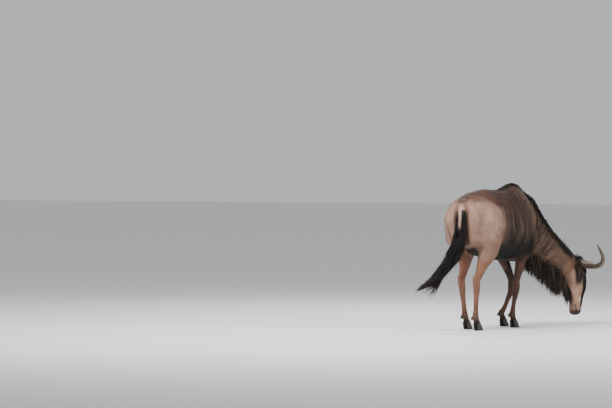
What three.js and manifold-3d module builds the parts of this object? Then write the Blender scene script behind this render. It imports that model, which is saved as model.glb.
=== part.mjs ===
// A blue wildebeest, life size, grazing: the body points along +X, the neck bends down and to the
// animal's right (-Y), and the tail swings back and to its left. Millimetres, +Z up, floor at Z = 0.
// Body places are written from the point on the floor under the withers; the last lines move the
// finished group so that its origin is the middle of its footprint.
import * as THREE from "three";
import { mergeVertices } from "three/addons/utils/BufferGeometryUtils.js";
import Module from "manifold-3d";

const wasm = await Module();
wasm.setup();

// Driving sizes
const WITHERS_HEIGHT = 1300;
const CROUP_HEIGHT = 1255;
const TAIL_ROOT = new THREE.Vector3(-850, 0, 1128);
const POLL = new THREE.Vector3(474, -374, 590);
const HEAD_LENGTH = 500;
const HEAD_TURN = THREE.MathUtils.degToRad(-32);
const HORN_REACH = 336;
const HORN_RISE = 150;
const EYE_RADIUS = 20;
const EAR_LENGTH = 185;
const CORONET_HEIGHT = 60;
const GAP = 0.4;

const V = (x, y, z) => new THREE.Vector3(x, y, z);
const UP = V(0, 0, 1);
const FORWARD = V(1, 0, 0);

// A repeatable draw between low and high.
function drawFrom(seed) {
  let state = seed;
  return (low, high) => {
    state = (Math.imul(state, 1664525) + 1013904223) >>> 0;
    return low + ((high - low) * state) / 2 ** 32;
  };
}

// Smooth value of a list at share t, 0 to 1.
function along(list, t) {
  const place = Math.min(Math.max(t, 0), 1) * (list.length - 1);
  const i = Math.min(Math.floor(place), list.length - 2);
  const f = place - i;
  const pick = (k) => list[Math.min(Math.max(k, 0), list.length - 1)];
  const [a, b, c, d] = [pick(i - 1), pick(i), pick(i + 1), pick(i + 2)];
  const slope = (c - a) / 2;
  const nextSlope = (d - b) / 2;
  const h = f * f;
  return (
    (2 * h * f - 3 * h + 1) * b +
    (h * f - 2 * h + f) * slope +
    (3 * h - 2 * h * f) * c +
    (h * f - h) * nextSlope
  );
}

// One section of a body form, at share t of its length. A station is its centre, half width, reach
// to the front or top, reach to the back or underside, and how much each of those edges narrows.
function sectionAt({ stations, reference }, t) {
  const column = (k) => stations.map((s) => s[k] ?? 0);
  const at = (place) => [0, 1, 2, 3, 4, 5, 6, 7].map((k) => along(column(k), place));
  const s = at(t);
  const before = at(t - 0.01);
  const after = at(t + 0.01);
  const axis = V(after[0] - before[0], after[1] - before[1], after[2] - before[2]).normalize();
  const top = reference.clone().addScaledVector(axis, -reference.dot(axis)).normalize();
  const side = new THREE.Vector3().crossVectors(axis, top).normalize();
  return {
    centre: V(s[0], s[1], s[2]), axis, top, side,
    half: Math.max(s[3], 1), up: Math.max(s[4], 1), down: Math.max(s[5], 1), pinchUp: s[6], pinchDown: s[7],
  };
}

// The point of a section at an angle, 0 at its side and a quarter turn at its top.
function rim(section, angle, grow = 0) {
  const s = Math.sin(angle);
  const c = Math.cos(angle);
  const pinch = 1 - (s > 0 ? section.pinchUp : section.pinchDown) * s * s;
  const across = (section.half * pinch + grow) * c;
  const high = ((s > 0 ? section.up : section.down) + grow) * s;
  return section.centre.clone().addScaledVector(section.side, across).addScaledVector(section.top, high);
}

// How far a point lies outside a form, less than 0 inside it.
function outside(form, point) {
  let nearest = null;
  let least = Infinity;
  for (const section of form.sections) {
    const d = section.centre.distanceTo(point);
    const off = Math.abs(new THREE.Vector3().subVectors(point, section.centre).dot(section.axis));
    if (off * 3 + d < least) {
      least = off * 3 + d;
      nearest = section;
    }
  }
  const rel = new THREE.Vector3().subVectors(point, nearest.centre);
  const across = rel.dot(nearest.side);
  const high = rel.dot(nearest.top);
  const angle = Math.atan2(high / (high > 0 ? nearest.up : nearest.down), across / nearest.half);
  const past = Math.abs(rel.dot(nearest.axis));
  const radial = Math.hypot(across, high) - rim(nearest, angle).distanceTo(nearest.centre);
  return Math.max(radial, past - 60);
}

// A form is a skin over sections, swollen at its muscles and filleted towards its neighbours.
function form({ stations, steps, sides, reference, swells = [], towards = [] }) {
  const made = { stations, reference, sides, swells, towards };
  made.sections = Array.from({ length: steps + 1 }, (_, i) => sectionAt(made, i / steps));
  return made;
}

function pointsOf(shape, grow) {
  const last = shape.sections.length - 1;
  return shape.sections.map((section, level) =>
    Array.from({ length: shape.sides }, (_, i) => {
      const point = rim(section, (i / shape.sides) * 2 * Math.PI);
      const out = point.clone().sub(section.centre).normalize();
      let push = grow;
      for (const { at, reach, rise } of shape.swells) {
        const d = V(...at).distanceTo(point) / reach;
        push += rise * Math.exp(-d * d);
      }
      for (const { shape: other, width } of shape.towards) {
        const d = Math.abs(outside(other, point)) / width;
        if (d < 1) push += (width / 4) * (1 - d) * (1 - d);
      }
      const ends = (level === last ? grow : 0) - (level === 0 ? grow : 0);
      return point.addScaledVector(out, push).addScaledVector(section.axis, ends);
    }),
  );
}

// A closed geometry over rings of points, with a flat or pointed end at each side.
function skinOf(rings) {
  const sides = rings[0].length;
  const positions = [];
  rings.forEach((ring) => ring.forEach((p) => positions.push(p.x, p.y, p.z)));
  const middle = (ring) => ring.reduce((sum, p) => sum.add(p), V(0, 0, 0)).divideScalar(sides);
  const first = middle(rings[0]);
  const last = middle(rings[rings.length - 1]);
  positions.push(first.x, first.y, first.z, last.x, last.y, last.z);
  const startPole = rings.length * sides;
  const index = [];
  for (let r = 0; r + 1 < rings.length; r++) {
    for (let i = 0; i < sides; i++) {
      const j = (i + 1) % sides;
      const [a, b, c, d] = [r * sides + i, r * sides + j, (r + 1) * sides + j, (r + 1) * sides + i];
      index.push(a, b, c, a, c, d);
    }
  }
  for (let i = 0; i < sides; i++) {
    const j = (i + 1) % sides;
    const base = (rings.length - 1) * sides;
    index.push(startPole, j, i, startPole + 1, base + i, base + j);
  }
  const geometry = new THREE.BufferGeometry();
  geometry.setAttribute("position", new THREE.Float32BufferAttribute(positions, 3));
  geometry.setIndex(index);
  return geometry;
}

// A solid from any closed three.js geometry, turned outwards if it was made inside out.
function solid(geometry, matrix = new THREE.Matrix4()) {
  const plain = geometry.clone().applyMatrix4(matrix);
  plain.deleteAttribute("normal");
  plain.deleteAttribute("uv");
  const merged = mergeVertices(plain, 1e-3);
  const triVerts = new Uint32Array(merged.index.array);
  const make = () => new wasm.Manifold(new wasm.Mesh({
    numProp: 3, vertProperties: merged.attributes.position.array, triVerts,
  }));
  const made = make();
  if (made.volume() > 0) return made;
  for (let i = 0; i < triVerts.length; i += 3) {
    [triVerts[i + 1], triVerts[i + 2]] = [triVerts[i + 2], triVerts[i + 1]];
  }
  return make();
}

const solidOf = (shape, grow = 0) => solid(skinOf(pointsOf(shape, grow)));
const largest = (body) => body.decompose().sort((a, b) => b.volume() - a.volume())[0];
const joined = (bodies) => bodies.reduce((a, b) => a.add(b));

function geometryOf(body) {
  const mesh = body.getMesh();
  const positions = new Float32Array(mesh.numVert * 3);
  for (let i = 0; i < mesh.numVert; i++) {
    positions.set(mesh.vertProperties.subarray(i * mesh.numProp, i * mesh.numProp + 3), i * 3);
  }
  const geometry = new THREE.BufferGeometry();
  geometry.setAttribute("position", new THREE.BufferAttribute(positions, 3));
  geometry.setIndex(new THREE.BufferAttribute(mesh.triVerts, 1));
  return geometry;
}

function ellipsoid(centre, radii, turn = new THREE.Quaternion(), detail = 12) {
  const matrix = new THREE.Matrix4().compose(centre, turn, V(...radii));
  return solid(new THREE.SphereGeometry(1, detail * 2, detail), matrix);
}

// Torso: deep narrow chest, high withers, level back and a rounded rump.
const torsoShape = form({
  steps: 21,
  sides: 22,
  reference: UP,
  stations: [
    [-950, 0, 985, 60, 60, 90, 0, 0],
    [-956, 0, 985, 8, 10, 10, 0, 0],
    [-922, 0, 985, 150, 148, 205, 0, 0],
    [-865, 0, 985, 192, 200, 262, 0.12, 0],
    [-755, 0, 985, 188, 246, 290, 0.3, 0.1],
    [-600, 0, 955, 212, CROUP_HEIGHT - 955, 312, 0.34, 0.1],
    [-440, 0, 925, 228, CROUP_HEIGHT - 933, 305, 0.3, 0.05],
    [-280, 0, 900, 248, CROUP_HEIGHT - 908, 298, 0.25, 0],
    [-130, 0, 890, 244, WITHERS_HEIGHT - 912, 298, 0.42, 0],
    [10, 0, 885, 224, WITHERS_HEIGHT - 888, 300, 0.52, 0.1],
    [120, -8, 880, 192, 345, 275, 0.45, 0.2],
    [205, -30, 865, 138, 240, 212, 0.3, 0.25],
    [262, -50, 850, 80, 130, 130, 0, 0.1],
    [285, -56, 845, 10, 16, 16, 0, 0],
  ],
  swells: [
    { at: [-560, 190, 1150], reach: 120, rise: 16 },
    { at: [-560, -190, 1150], reach: 120, rise: 16 },
    { at: [40, 170, 1080], reach: 170, rise: 14 },
    { at: [40, -170, 1080], reach: 170, rise: 14 },
    { at: [-470, 225, 960], reach: 90, rise: -16 },
    { at: [-470, -225, 960], reach: 90, rise: -16 },
  ],
});

// A leg's stations from its top to the coronet, given each joint's place along X and the side.
function foreStations(side, joint, tuck) {
  const y = (out, share = 1) => side * (out - tuck * share);
  const { knee, fetlock, foot } = joint;
  return [
    [40, y(95, 0), 960, 60, 110, 110, 0, 0],
    [40, y(128, 0), 880, 80, 135, 130, 0, 0],
    [25, y(142, 0), 790, 82, 118, 118, 0, 0.1],
    [-5, y(138, 0.2), 710, 72, 84, 92, 0, 0.1],
    [knee * 0.35 - 30, y(130, 0.5), 620, 54, 60, 66, 0, 0.1],
    [knee * 0.65 - 12, y(124, 0.9), 520, 43, 46, 48, 0, 0.15],
    [knee - 2, y(118), 425, 35, 39, 35, 0, 0.15],
    [knee, y(116), 365, 37, 44, 35, 0.1, 0.1],
    [knee * 0.9 + fetlock * 0.1, y(113), 310, 32, 36, 32, 0, 0.1],
    [knee * 0.5 + fetlock * 0.5, y(108), 235, 23, 26, 29, 0, 0.1],
    [knee * 0.2 + fetlock * 0.8, y(105), 170, 24, 27, 31, 0, 0.1],
    [fetlock, y(104, 0.6), 128, 31, 32, 37, 0, 0],
    [fetlock * 0.5 + foot * 0.5, y(103, 0.6), 92, 28, 29, 29, 0, 0],
    [foot, y(103, 0.6), CORONET_HEIGHT, 34, 35, 33, 0, 0],
  ];
}

function hindStations(side, joint, tuck) {
  const y = (out, share = 0) => side * (out - tuck * share);
  const { stifle, hock, fetlock, foot } = joint;
  return [
    [-715, y(76, 0.3), 1146, 50, 84, 104, 0, 0],
    [-722, y(104, 0.6), 1080, 82, 155, 160, 0, 0],
    [-722, y(116, 1), 990, 100, 190, 182, 0, 0],
    [-722, y(124, 1), 890, 106, 200, 190, 0, 0],
    [stifle - 82, y(128, 1), 785, 100, 172, 154, 0, 0],
    [stifle - 116, y(128, 0.6), 690, 79, 118, 100, 0, 0.1],
    [stifle * 0.55 + hock * 0.45 - 55, y(124), 600, 55, 76, 74, 0, 0.25],
    [stifle * 0.3 + hock * 0.7 - 35, y(119), 515, 38, 52, 54, 0, 0.3],
    [hock - 8, y(115), 440, 34, 44, 50, 0.1, 0.45],
    [hock, y(113), 392, 35, 46, 46, 0.1, 0.35],
    [hock * 0.85 + fetlock * 0.15, y(112), 330, 29, 37, 36, 0, 0.2],
    [hock * 0.5 + fetlock * 0.5, y(108), 245, 24, 28, 29, 0, 0.1],
    [hock * 0.2 + fetlock * 0.8, y(105), 175, 25, 28, 31, 0, 0.1],
    [fetlock, y(104), 130, 31, 32, 37, 0, 0],
    [fetlock * 0.5 + foot * 0.5, y(103), 94, 28, 29, 29, 0, 0],
    [foot, y(103), CORONET_HEIGHT, 34, 35, 33, 0, 0],
  ];
}

// Where each leg's joints stand along X. The near hind and near fore are set back and the left
// fore is stepping, its knee bent forward over a hoof that is still down.
const LEGS = {
  leg_fore_right: { side: -1, stations: foreStations, joint: { knee: -150, fetlock: -196, foot: -172 } },
  leg_fore_left: { side: 1, stations: foreStations, joint: { knee: 118, fetlock: -62, foot: -30 }, tuck: 34 },
  leg_hind_right: { side: -1, stations: hindStations, joint: { stifle: -585, hock: -862, fetlock: -862, foot: -832 } },
  leg_hind_left: { side: 1, stations: hindStations, joint: { stifle: -500, hock: -728, fetlock: -690, foot: -656 }, tuck: -36 },
};

const legShapes = Object.fromEntries(
  Object.entries(LEGS).map(([name, { side, stations, joint, tuck = 0 }]) => [
    name,
    form({
      stations: stations(side, joint, tuck),
      steps: 19,
      sides: name.includes("hind") ? 16 : 12,
      reference: FORWARD,
      towards: [{ shape: torsoShape, width: 20 }],
    }),
  ]),
);

// Neck: from inside the chest, down and round to the right, to behind the jaw.
const neckShape = form({
  steps: 17,
  sides: 18,
  reference: V(0.3, -0.2, 1),
  stations: [
    [-60, 0, 950, 120, 260, 260, 0.3, 0.1],
    [70, -8, 910, 160, 292, 285, 0.42, 0.12],
    [180, -48, 840, 148, 222, 245, 0.42, 0.18],
    [270, -126, 752, 122, 164, 205, 0.38, 0.22],
    [346, -217, 660, 102, 130, 172, 0.32, 0.22],
    [402, -300, 572, 86, 108, 146, 0.25, 0.2],
    [426, -345, 500, 78, 92, 118, 0.2, 0.2],
    [434, -362, 455, 40, 60, 60, 0, 0],
  ],
  towards: [{ shape: torsoShape, width: 80 }],
});

// Head frame: along is down the face from the poll, out is to the front of the face, and right is
// to the animal's right.
const faceOut = V(Math.cos(HEAD_TURN), Math.sin(HEAD_TURN), 0.04).normalize();
const faceRight = new THREE.Vector3().crossVectors(faceOut, UP).normalize();
const faceAlong = new THREE.Vector3().crossVectors(faceOut, faceRight).normalize().multiplyScalar(1);
if (faceAlong.z > 0) faceAlong.negate();
const faceTurn = new THREE.Quaternion().setFromRotationMatrix(
  new THREE.Matrix4().makeBasis(faceAlong, faceRight, new THREE.Vector3().crossVectors(faceAlong, faceRight)),
);
function onHead(down, right, out) {
  return POLL.clone()
    .addScaledVector(faceAlong, down)
    .addScaledVector(faceRight, right)
    .addScaledVector(faceOut, out);
}

function headStation(down, out, half, front, back, pinchFront = 0, pinchBack = 0) {
  const p = onHead(down, 0, out);
  return [p.x, p.y, p.z, half, front, back, pinchFront, pinchBack];
}

const headShape = form({
  steps: 26,
  sides: 18,
  reference: faceOut,
  stations: [
    headStation(-20, -14, 12, 20, 16),
    headStation(-6, -14, 54, 66, 62, 0.1, 0.1),
    headStation(32, -6, 80, 92, 112, 0.1, 0.1),
    headStation(80, 2, 87, 102, 142, 0.22, 0.3),
    headStation(130, 6, 86, 108, 156, 0.32, 0.45),
    headStation(180, 6, 76, 114, 144, 0.36, 0.5),
    headStation(235, 2, 62, 112, 112, 0.34, 0.45),
    headStation(292, -6, 53, 98, 84, 0.3, 0.35),
    headStation(345, -8, 50, 84, 66, 0.22, 0.25),
    headStation(395, -10, 56, 70, 56, 0.08, 0.12),
    headStation(440, -12, 64, 60, 52, 0, 0.05),
    headStation(475, -12, 60, 48, 45, 0, 0),
    headStation(494, -12, 42, 32, 30, 0, 0),
    headStation(HEAD_LENGTH, -12, 8, 6, 6),
  ],
  swells: [-1, 1].flatMap((s) => [
    { at: onHead(90, s * 80, 44).toArray(), reach: 36, rise: 14 },
    { at: onHead(165, s * 72, 56).toArray(), reach: 30, rise: -6 },
    { at: onHead(170, s * 66, -70).toArray(), reach: 60, rise: 8 },
    { at: onHead(452, s * 42, 30).toArray(), reach: 26, rise: 9 },
    { at: onHead(462, s * 46, -34).toArray(), reach: 30, rise: 6 },
  ]),
});

// A tapered lock of hair: a flat spindle from a root, along a bent path, to a fine tip.
function lock({ root, lie, fall, length, width, thick, face, sections = 3 }) {
  const rings = [];
  const direction = lie.clone().normalize();
  const sunk = 12;
  const place = root.clone().addScaledVector(direction, -sunk);
  const stepLength = (length + sunk) / sections;
  for (let i = 0; i <= sections; i++) {
    const t = i / sections;
    const wide = Math.max(width * (0.8 + 0.7 * t) * (1 - t ** 2.6), 2);
    const deep = Math.max(thick * (1 - 0.75 * t), 1.2);
    const flat = face.clone().addScaledVector(direction, -face.dot(direction)).normalize();
    const side = new THREE.Vector3().crossVectors(direction, flat).normalize();
    rings.push([[1, -0.4], [0, 1], [-1, -0.4]].map(([a, b]) =>
      place.clone().addScaledVector(side, (a * wide) / 2).addScaledVector(flat, (b * deep) / 2)));
    direction.lerp(fall, 0.9 / sections).normalize();
    place.addScaledVector(direction, stepLength);
  }
  return solid(skinOf(rings));
}

// A lock that lies along a body form: it starts under the skin at share t and an angle round the
// form, runs on by the given steps, and lifts off towards its tip.
function laidLock({ shape, t, angle, run, turn, lift, width, thick }) {
  const shares = [-0.08, 0.22, 0.5, 0.78, 1];
  const rings = shares.map((u, i) => {
    const section = sectionAt(shape, Math.min(t + run * u, 1));
    const at = angle + turn * Math.max(u, 0) ** 1.2;
    const middle = rim(section, at, -10 + (10 + lift) * Math.sqrt(Math.max(u, 0)));
    const out = middle.clone().sub(section.centre).normalize();
    const nextSection = sectionAt(shape, Math.min(t + run * (u + 0.1), 1));
    const way = rim(nextSection, angle + turn * Math.max(u + 0.1, 0) ** 1.2, 0).sub(middle)
      .addScaledVector(out, 0.2 * lift).normalize();
    const side = new THREE.Vector3().crossVectors(way, out).normalize();
    const wide = [0.75, 1, 1, 0.66, 0.06][i] * width;
    const deep = [1, 1, 0.8, 0.5, 0.1][i] * thick;
    return [[1, -0.5], [0, 0.6], [-1, -0.5]].map(([a, b]) =>
      middle.clone().addScaledVector(side, (a * wide) / 2).addScaledVector(out, (b * deep)));
  });
  return solid(skinOf(rings));
}

// Mane: rows of black locks from the withers to the poll. One row stands along the crest, one
// falls long on the left and one falls short on the right.
const MANE_ROWS = [
  { count: 10, angle: Math.PI / 2, turn: 0.25, run: 0.14, lift: 46, width: 52, start: 0.2 },
  { count: 9, angle: Math.PI / 2 + 0.12, turn: 1.0, run: 0.1, lift: 18, width: 66, start: 0.22 },
  { count: 8, angle: Math.PI / 2 - 0.12, turn: -0.5, run: 0.12, lift: 15, width: 56, start: 0.21 },
];
function maneLocks() {
  const draw = drawFrom(11);
  return MANE_ROWS.flatMap(({ count, angle, turn, run, lift, width, start }) =>
    Array.from({ length: count }, (_, i) => laidLock({
      shape: neckShape,
      t: start + (i / count) * (0.8 - start),
      angle: angle + draw(-0.05, 0.05),
      run: run * draw(0.85, 1.15),
      turn: turn * draw(0.8, 1.15),
      lift: lift * draw(0.7, 1.1),
      width: width * draw(0.9, 1.15),
      thick: 16,
    })));
}

// Beard: locks hanging from the throat, from the brisket to behind the chin.
function beardLocks() {
  const draw = drawFrom(23);
  const locks = [];
  const count = 7;
  for (const row of [-1, 0, 1]) {
    for (let i = 0; i < count; i++) {
      const t = 0.34 + ((i + 0.3 * (row + 1)) / count) * 0.54;
      const section = sectionAt(neckShape, t);
      locks.push(lock({
        root: rim(section, -Math.PI / 2 + row * 0.3),
        lie: UP.clone().multiplyScalar(-1).addScaledVector(section.top, -0.2).addScaledVector(section.side, row * 0.3)
          .addScaledVector(section.axis, 0.5),
        fall: UP.clone().multiplyScalar(-1).addScaledVector(section.axis, draw(-0.1, 0.35)).normalize(),
        length: draw(105, 150) * (0.85 + 0.3 * t),
        width: draw(64, 80),
        thick: 18,
        face: section.side.clone().multiplyScalar(row || 0.6).addScaledVector(section.axis, 0.3),
      }));
    }
  }
  return locks;
}

// Forelock: a tuft between the horns that falls down the forehead, and bristles down the nose.
function forelockLocks() {
  const draw = drawFrom(5);
  return Array.from({ length: 8 }, (_, i) => {
    const across = ((i % 4) - 1.5) * 22;
    const row = Math.floor(i / 4);
    return lock({
      root: onHead(4 + row * 34, across, 58 + row * 14),
      lie: faceOut.clone().multiplyScalar(0.9).addScaledVector(faceAlong, -0.45 + row * 0.35)
        .addScaledVector(faceRight, across * 0.008),
      fall: faceAlong.clone(),
      length: draw(62, 90),
      width: draw(34, 40),
      thick: 15,
      face: faceRight,
    });
  });
}

// Tail: a slim dock close to the rump, then a long black tuft swung back to the left.
const TAIL_PATH = [
  TAIL_ROOT.toArray(), [-922, -8, 1122], [-972, -22, 1045], [-990, -26, 950], [-996, -18, 850],
  [-1004, -4, 760], [-1022, 30, 665], [-1056, 84, 570], [-1100, 150, 480],
];
const tailStations = TAIL_PATH.map(([x, y, z], i) => {
  const thick = [46, 44, 38, 33, 34, 44, 42, 30, 8][i];
  return [x, y, z, thick, thick * 0.8, thick * 0.8, 0, 0];
});
const dockShape = form({ stations: tailStations.slice(0, 5), steps: 9, sides: 10, reference: V(-1, 0, 0.5) });
const tuftShape = form({ stations: tailStations.slice(4), steps: 8, sides: 8, reference: V(-1, 0, 0.3) });
const TUFT_END = V(-1225, 300, 352);

function tuftLocks() {
  const draw = drawFrom(41);
  const locks = [];
  const around = 4;
  for (let level = 0; level < 5; level++) {
    for (let k = 0; k < around; k++) {
      const section = sectionAt(tuftShape, Math.min(0.04 + (level + draw(-0.2, 0.2)) / 5.4, 0.95));
      const angle = ((k + 0.5 * (level % 2)) / around) * 2 * Math.PI;
      const out = rim(section, angle).sub(section.centre).normalize();
      const spread = draw(-60, 60);
      const aim = TUFT_END.clone().add(V(0.6 * spread, -0.4 * spread, -0.8 * spread))
        .addScaledVector(out, 40).sub(section.centre).normalize();
      locks.push(lock({
        root: rim(section, angle).addScaledVector(out, -9),
        lie: section.axis.clone().addScaledVector(out, 0.12),
        fall: level > 2 ? aim : section.axis.clone().lerp(aim, 0.4).normalize(),
        length: 190 + level * 16 + draw(-20, 30),
        width: draw(54, 68),
        thick: 22,
        face: out,
      }));
    }
  }
  return locks;
}

// Horns: out from the boss, a little down, then up with the tips turned in.
function hornShape(side) {
  const path = [
    [22, 30, 40, 42], [34, 74, 60, 38], [44, 136, 84, 32], [48, 206, 104, 28], [34, 274, 116, 24],
    [-2, 320, 114, 20], [-50, HORN_REACH, 102, 16], [-100, 318, 88, 11], [-HORN_RISE, 286, 78, 4],
  ];
  return form({
    stations: path.map(([down, right, out, radius]) => {
      const p = onHead(down, side * right, out);
      return [p.x, p.y, p.z, radius, radius, radius, 0, 0];
    }),
    steps: 21,
    sides: 9,
    reference: faceOut,
  });
}

// Ears: long leaf-shaped cups, drooping out and back from behind the horns.
function earSolids(side) {
  const base = onHead(56, side * 72, -36);
  const reach = faceRight.clone().multiplyScalar(side * 0.62)
    .addScaledVector(faceAlong, side < 0 ? -0.05 : -0.62)
    .addScaledVector(faceOut, -0.5)
    .normalize();
  const open = faceOut.clone().multiplyScalar(0.75).addScaledVector(faceAlong, 0.25)
    .addScaledVector(faceRight, side * 0.5);
  const body = (hollow) => {
    const widths = [19, 27, 34, 35, 30, 20, 5];
    const stations = widths.map((w, i) => {
      const t = i / (widths.length - 1);
      const p = base.clone().addScaledVector(reach, EAR_LENGTH * (t - 0.04))
        .addScaledVector(UP, -14 * Math.sin(t * Math.PI))
        .addScaledVector(open, hollow ? 16 : 0);
      const cut = hollow ? Math.max(w - 7, 2) : w;
      return [p.x, p.y, p.z, cut, hollow ? 22 : w * 0.34, hollow ? 17 : Math.max(w * 0.46, 5), 0, 0];
    });
    return form({ stations: hollow ? stations.slice(1) : stations, steps: 8, sides: 8, reference: open });
  };
  return { cup: solidOf(body(false)).subtract(solidOf(body(true))), room: solidOf(body(false), GAP) };
}

const eyeCentre = (side) => onHead(106, side * 70, 36);

// Lids: a rolled rim above and below each eye.
function lids(side) {
  const outward = faceRight.clone().multiplyScalar(side * 0.95).addScaledVector(faceOut, 0.3).normalize();
  const turn = new THREE.Quaternion().setFromUnitVectors(V(0, 0, 1), outward);
  const centre = eyeCentre(side).addScaledVector(outward, 8);
  return solid(
    new THREE.TorusGeometry(18, 5.5, 5, 14),
    new THREE.Matrix4().compose(centre, turn, V(1, 1, 1)),
  );
}

// The two halves of a cloven hoof: each a level sole, a pointed toe and a wall that leans back.
function clawSolid(foot, line, half) {
  const levels = [[0, 20, 17, 53, 40], [8, 19, 17.4, 53, 39], [34, 9, 17, 40, 35], [CORONET_HEIGHT - GAP, 0, 15.5, 31, 31]];
  return solid(skinOf(levels.map(([z, ahead, wide, front, back]) =>
    Array.from({ length: 14 }, (_, i) => {
      const angle = (i / 14) * 2 * Math.PI;
      const [c, s] = [Math.cos(angle), Math.sin(angle)];
      const narrow = c > 0 ? 1 - 0.35 * c * c : 1;
      const inner = s * half < 0 ? 0.85 : 1;
      return V(foot + ahead + (c > 0 ? front : back) * c, line + half * 18.5 + wide * narrow * inner * s, z);
    }))));
}

const COLOURS = {
  hide: [0x6b5548, 0.8], dark: [0x2a2320, 0.8], hair: [0x14110f, 0.7], horn: [0x5c5048, 0.5],
  claw: [0x2b2622, 0.5], eye: [0x0b0705, 0.1], ear: [0x75604f, 0.8],
};
const wildebeest = new THREE.Group();
function addNode(name, body, colour) {
  const [color, roughness] = COLOURS[colour];
  const mesh = new THREE.Mesh(
    geometryOf(largest(body).simplify(0.05)),
    new THREE.MeshStandardMaterial({ color, roughness, metalness: 0 }),
  );
  mesh.name = name;
  wildebeest.add(mesh);
}

// Assembly: the flesh is one joined body that clean cuts share out, a hair's gap apart. A haunch
// or shoulder cut is an upright oval seen from the side.
const flesh = joined([torsoShape, neckShape, ...Object.values(legShapes)].map((shape) => solidOf(shape)));
const OVALS = {
  leg_fore: { at: [42, 862], radii: [158, 205], inner: 62 },
  leg_hind: { at: [-716, 925], radii: [252, 292], inner: 46 },
};
function legRegion(name, side, grow) {
  const { at, radii, inner } = OVALS[name.slice(0, 8)];
  const oval = new THREE.CylinderGeometry(1, 1, 400, 28);
  const matrix = new THREE.Matrix4().compose(
    V(at[0], side * (inner - grow + 200), at[1]), new THREE.Quaternion(), V(radii[0] + grow, 1, radii[1] + grow));
  const lower = solidOf(legShapes[name], 2 + grow).trimByPlane([0, 0, -1], -(760 + grow));
  return solid(oval, matrix).add(lower);
}

const floorCut = solid(new THREE.BoxGeometry(3000, 1200, 200), new THREE.Matrix4().makeTranslation(0, 0, CORONET_HEIGHT - 100));
const legRegions = [];
const legRoom = [];
for (const [name, { side, joint, tuck = 0 }] of Object.entries(LEGS)) {
  const line = side * (103 - (name.includes("fore") ? 0.6 * tuck : 0));
  const dewclaws = [-1, 1].map((half) =>
    ellipsoid(V(joint.fetlock - 29, line + half * 17, 114), [16, 10, 18], new THREE.Quaternion(), 4));
  const leg = flesh.intersect(legRegion(name, side, 0));
  addNode(name, joined([leg, ...dewclaws]).subtract(floorCut), "hide");
  legRegions.push(legRegion(name, side, GAP));
  legRoom.push(solidOf(legShapes[name], GAP));
  for (const half of [-1, 1]) {
    const place = half * side > 0 ? "outer" : "inner";
    addNode(name.replace("leg", "claw") + "_" + place, clawSolid(joint.foot, line, half), "claw");
  }
}

// The neck starts at a plane through the withers and the brisket, turned with the neck's bend.
const neckNormal = V(0.95, -0.25, 0.16).normalize();
const neckPlace = V(140, 0, 930).dot(neckNormal);
const behindNeck = flesh.subtract(joined(legRegions)).splitByPlane(neckNormal.toArray(), neckPlace);
const torso = behindNeck[1].trimByPlane(neckNormal.clone().negate().toArray(), -neckPlace + GAP);
addNode("torso", torso, "hide");

const headRoom = solidOf(headShape, GAP)
  .add(solidOf(headShape, GAP).translate(faceAlong.clone().multiplyScalar(-1.5 * GAP).toArray()));
const horns = { left: hornShape(-1), right: hornShape(1) };
const hornRoom = joined([solidOf(horns.left, GAP), solidOf(horns.right, GAP)]);
const ears = { left: earSolids(-1), right: earSolids(1) };
const bodyRoom = joined([solidOf(torsoShape, GAP), ...legRoom]);
const faceRoom = joined([headRoom, hornRoom, ears.left.room, ears.right.room]);
const hairOfNeck = joined([...maneLocks(), ...beardLocks()]).subtract(bodyRoom)
  .trimByPlane(neckNormal.toArray(), neckPlace);
const neck = joined([behindNeck[0], hairOfNeck]).subtract(faceRoom)
  .trimByPlane(faceOut.clone().negate().toArray(), -faceOut.dot(onHead(0, 0, 38)));
addNode("neck", neck, "dark");

const sockets = [-1, 1].map((side) => ellipsoid(
  eyeCentre(side), [EYE_RADIUS + 1, EYE_RADIUS + 1, EYE_RADIUS + 1], new THREE.Quaternion(), 8));
const nostrils = [-1, 1].map((side) => ellipsoid(onHead(456, side * 47, 32), [15, 8, 7],
  faceTurn.clone().multiply(new THREE.Quaternion().setFromAxisAngle(V(0, 0, 1), side * 0.35)), 6));
const mouthSlot = solid(
  new THREE.BoxGeometry(96, 150, 2.6),
  new THREE.Matrix4().compose(onHead(478, 0, -30), faceTurn, V(1, 1, 1)),
).subtract(solid(
  new THREE.BoxGeometry(150, 92, 10),
  new THREE.Matrix4().compose(onHead(416, 0, -30), faceTurn, V(1, 1, 1)),
));
const head = joined([solidOf(headShape), lids(-1), lids(1)])
  .subtract(joined([...sockets, ...nostrils, mouthSlot]));
const forelock = joined(forelockLocks()).trimByPlane(faceOut.toArray(), faceOut.dot(onHead(0, 0, 39)));
const headBare = joined([head, forelock]).subtract(hornRoom).subtract(joined(sockets));
addNode("head", headBare, "dark");
for (const [place, side] of [["left", -1], ["right", 1]]) {
  addNode("horn_" + place, solidOf(horns[place]), "horn");
  addNode("eye_" + place, ellipsoid(eyeCentre(side), [EYE_RADIUS, EYE_RADIUS, EYE_RADIUS], new THREE.Quaternion(), 6), "eye");
  const earClear = joined([headRoom, solidOf(neckShape, GAP), hornRoom]);
  addNode("ear_" + place, ears[place].cup.subtract(earClear), "ear");
}

const rumpRoom = joined([flesh, flesh.translate([-GAP, 0, 0]), bodyRoom]);
addNode("tail_dock", solidOf(dockShape).subtract(rumpRoom).subtract(solidOf(tuftShape, GAP)), "hide");
addNode("tail_tuft", joined([solidOf(tuftShape), joined(tuftLocks()).subtract(solidOf(dockShape, GAP))]), "hair");

// The origin is the middle of the footprint, on the floor.
wildebeest.updateMatrixWorld(true);
const box = new THREE.Box3().setFromObject(wildebeest);
wildebeest.position.set(-(box.min.x + box.max.x) / 2, -(box.min.y + box.max.y) / 2, -box.min.z);

export default wildebeest;
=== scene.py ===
import math

import bmesh
import bpy
import numpy as np
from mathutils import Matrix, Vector
from mathutils.bvhtree import BVHTree


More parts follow.
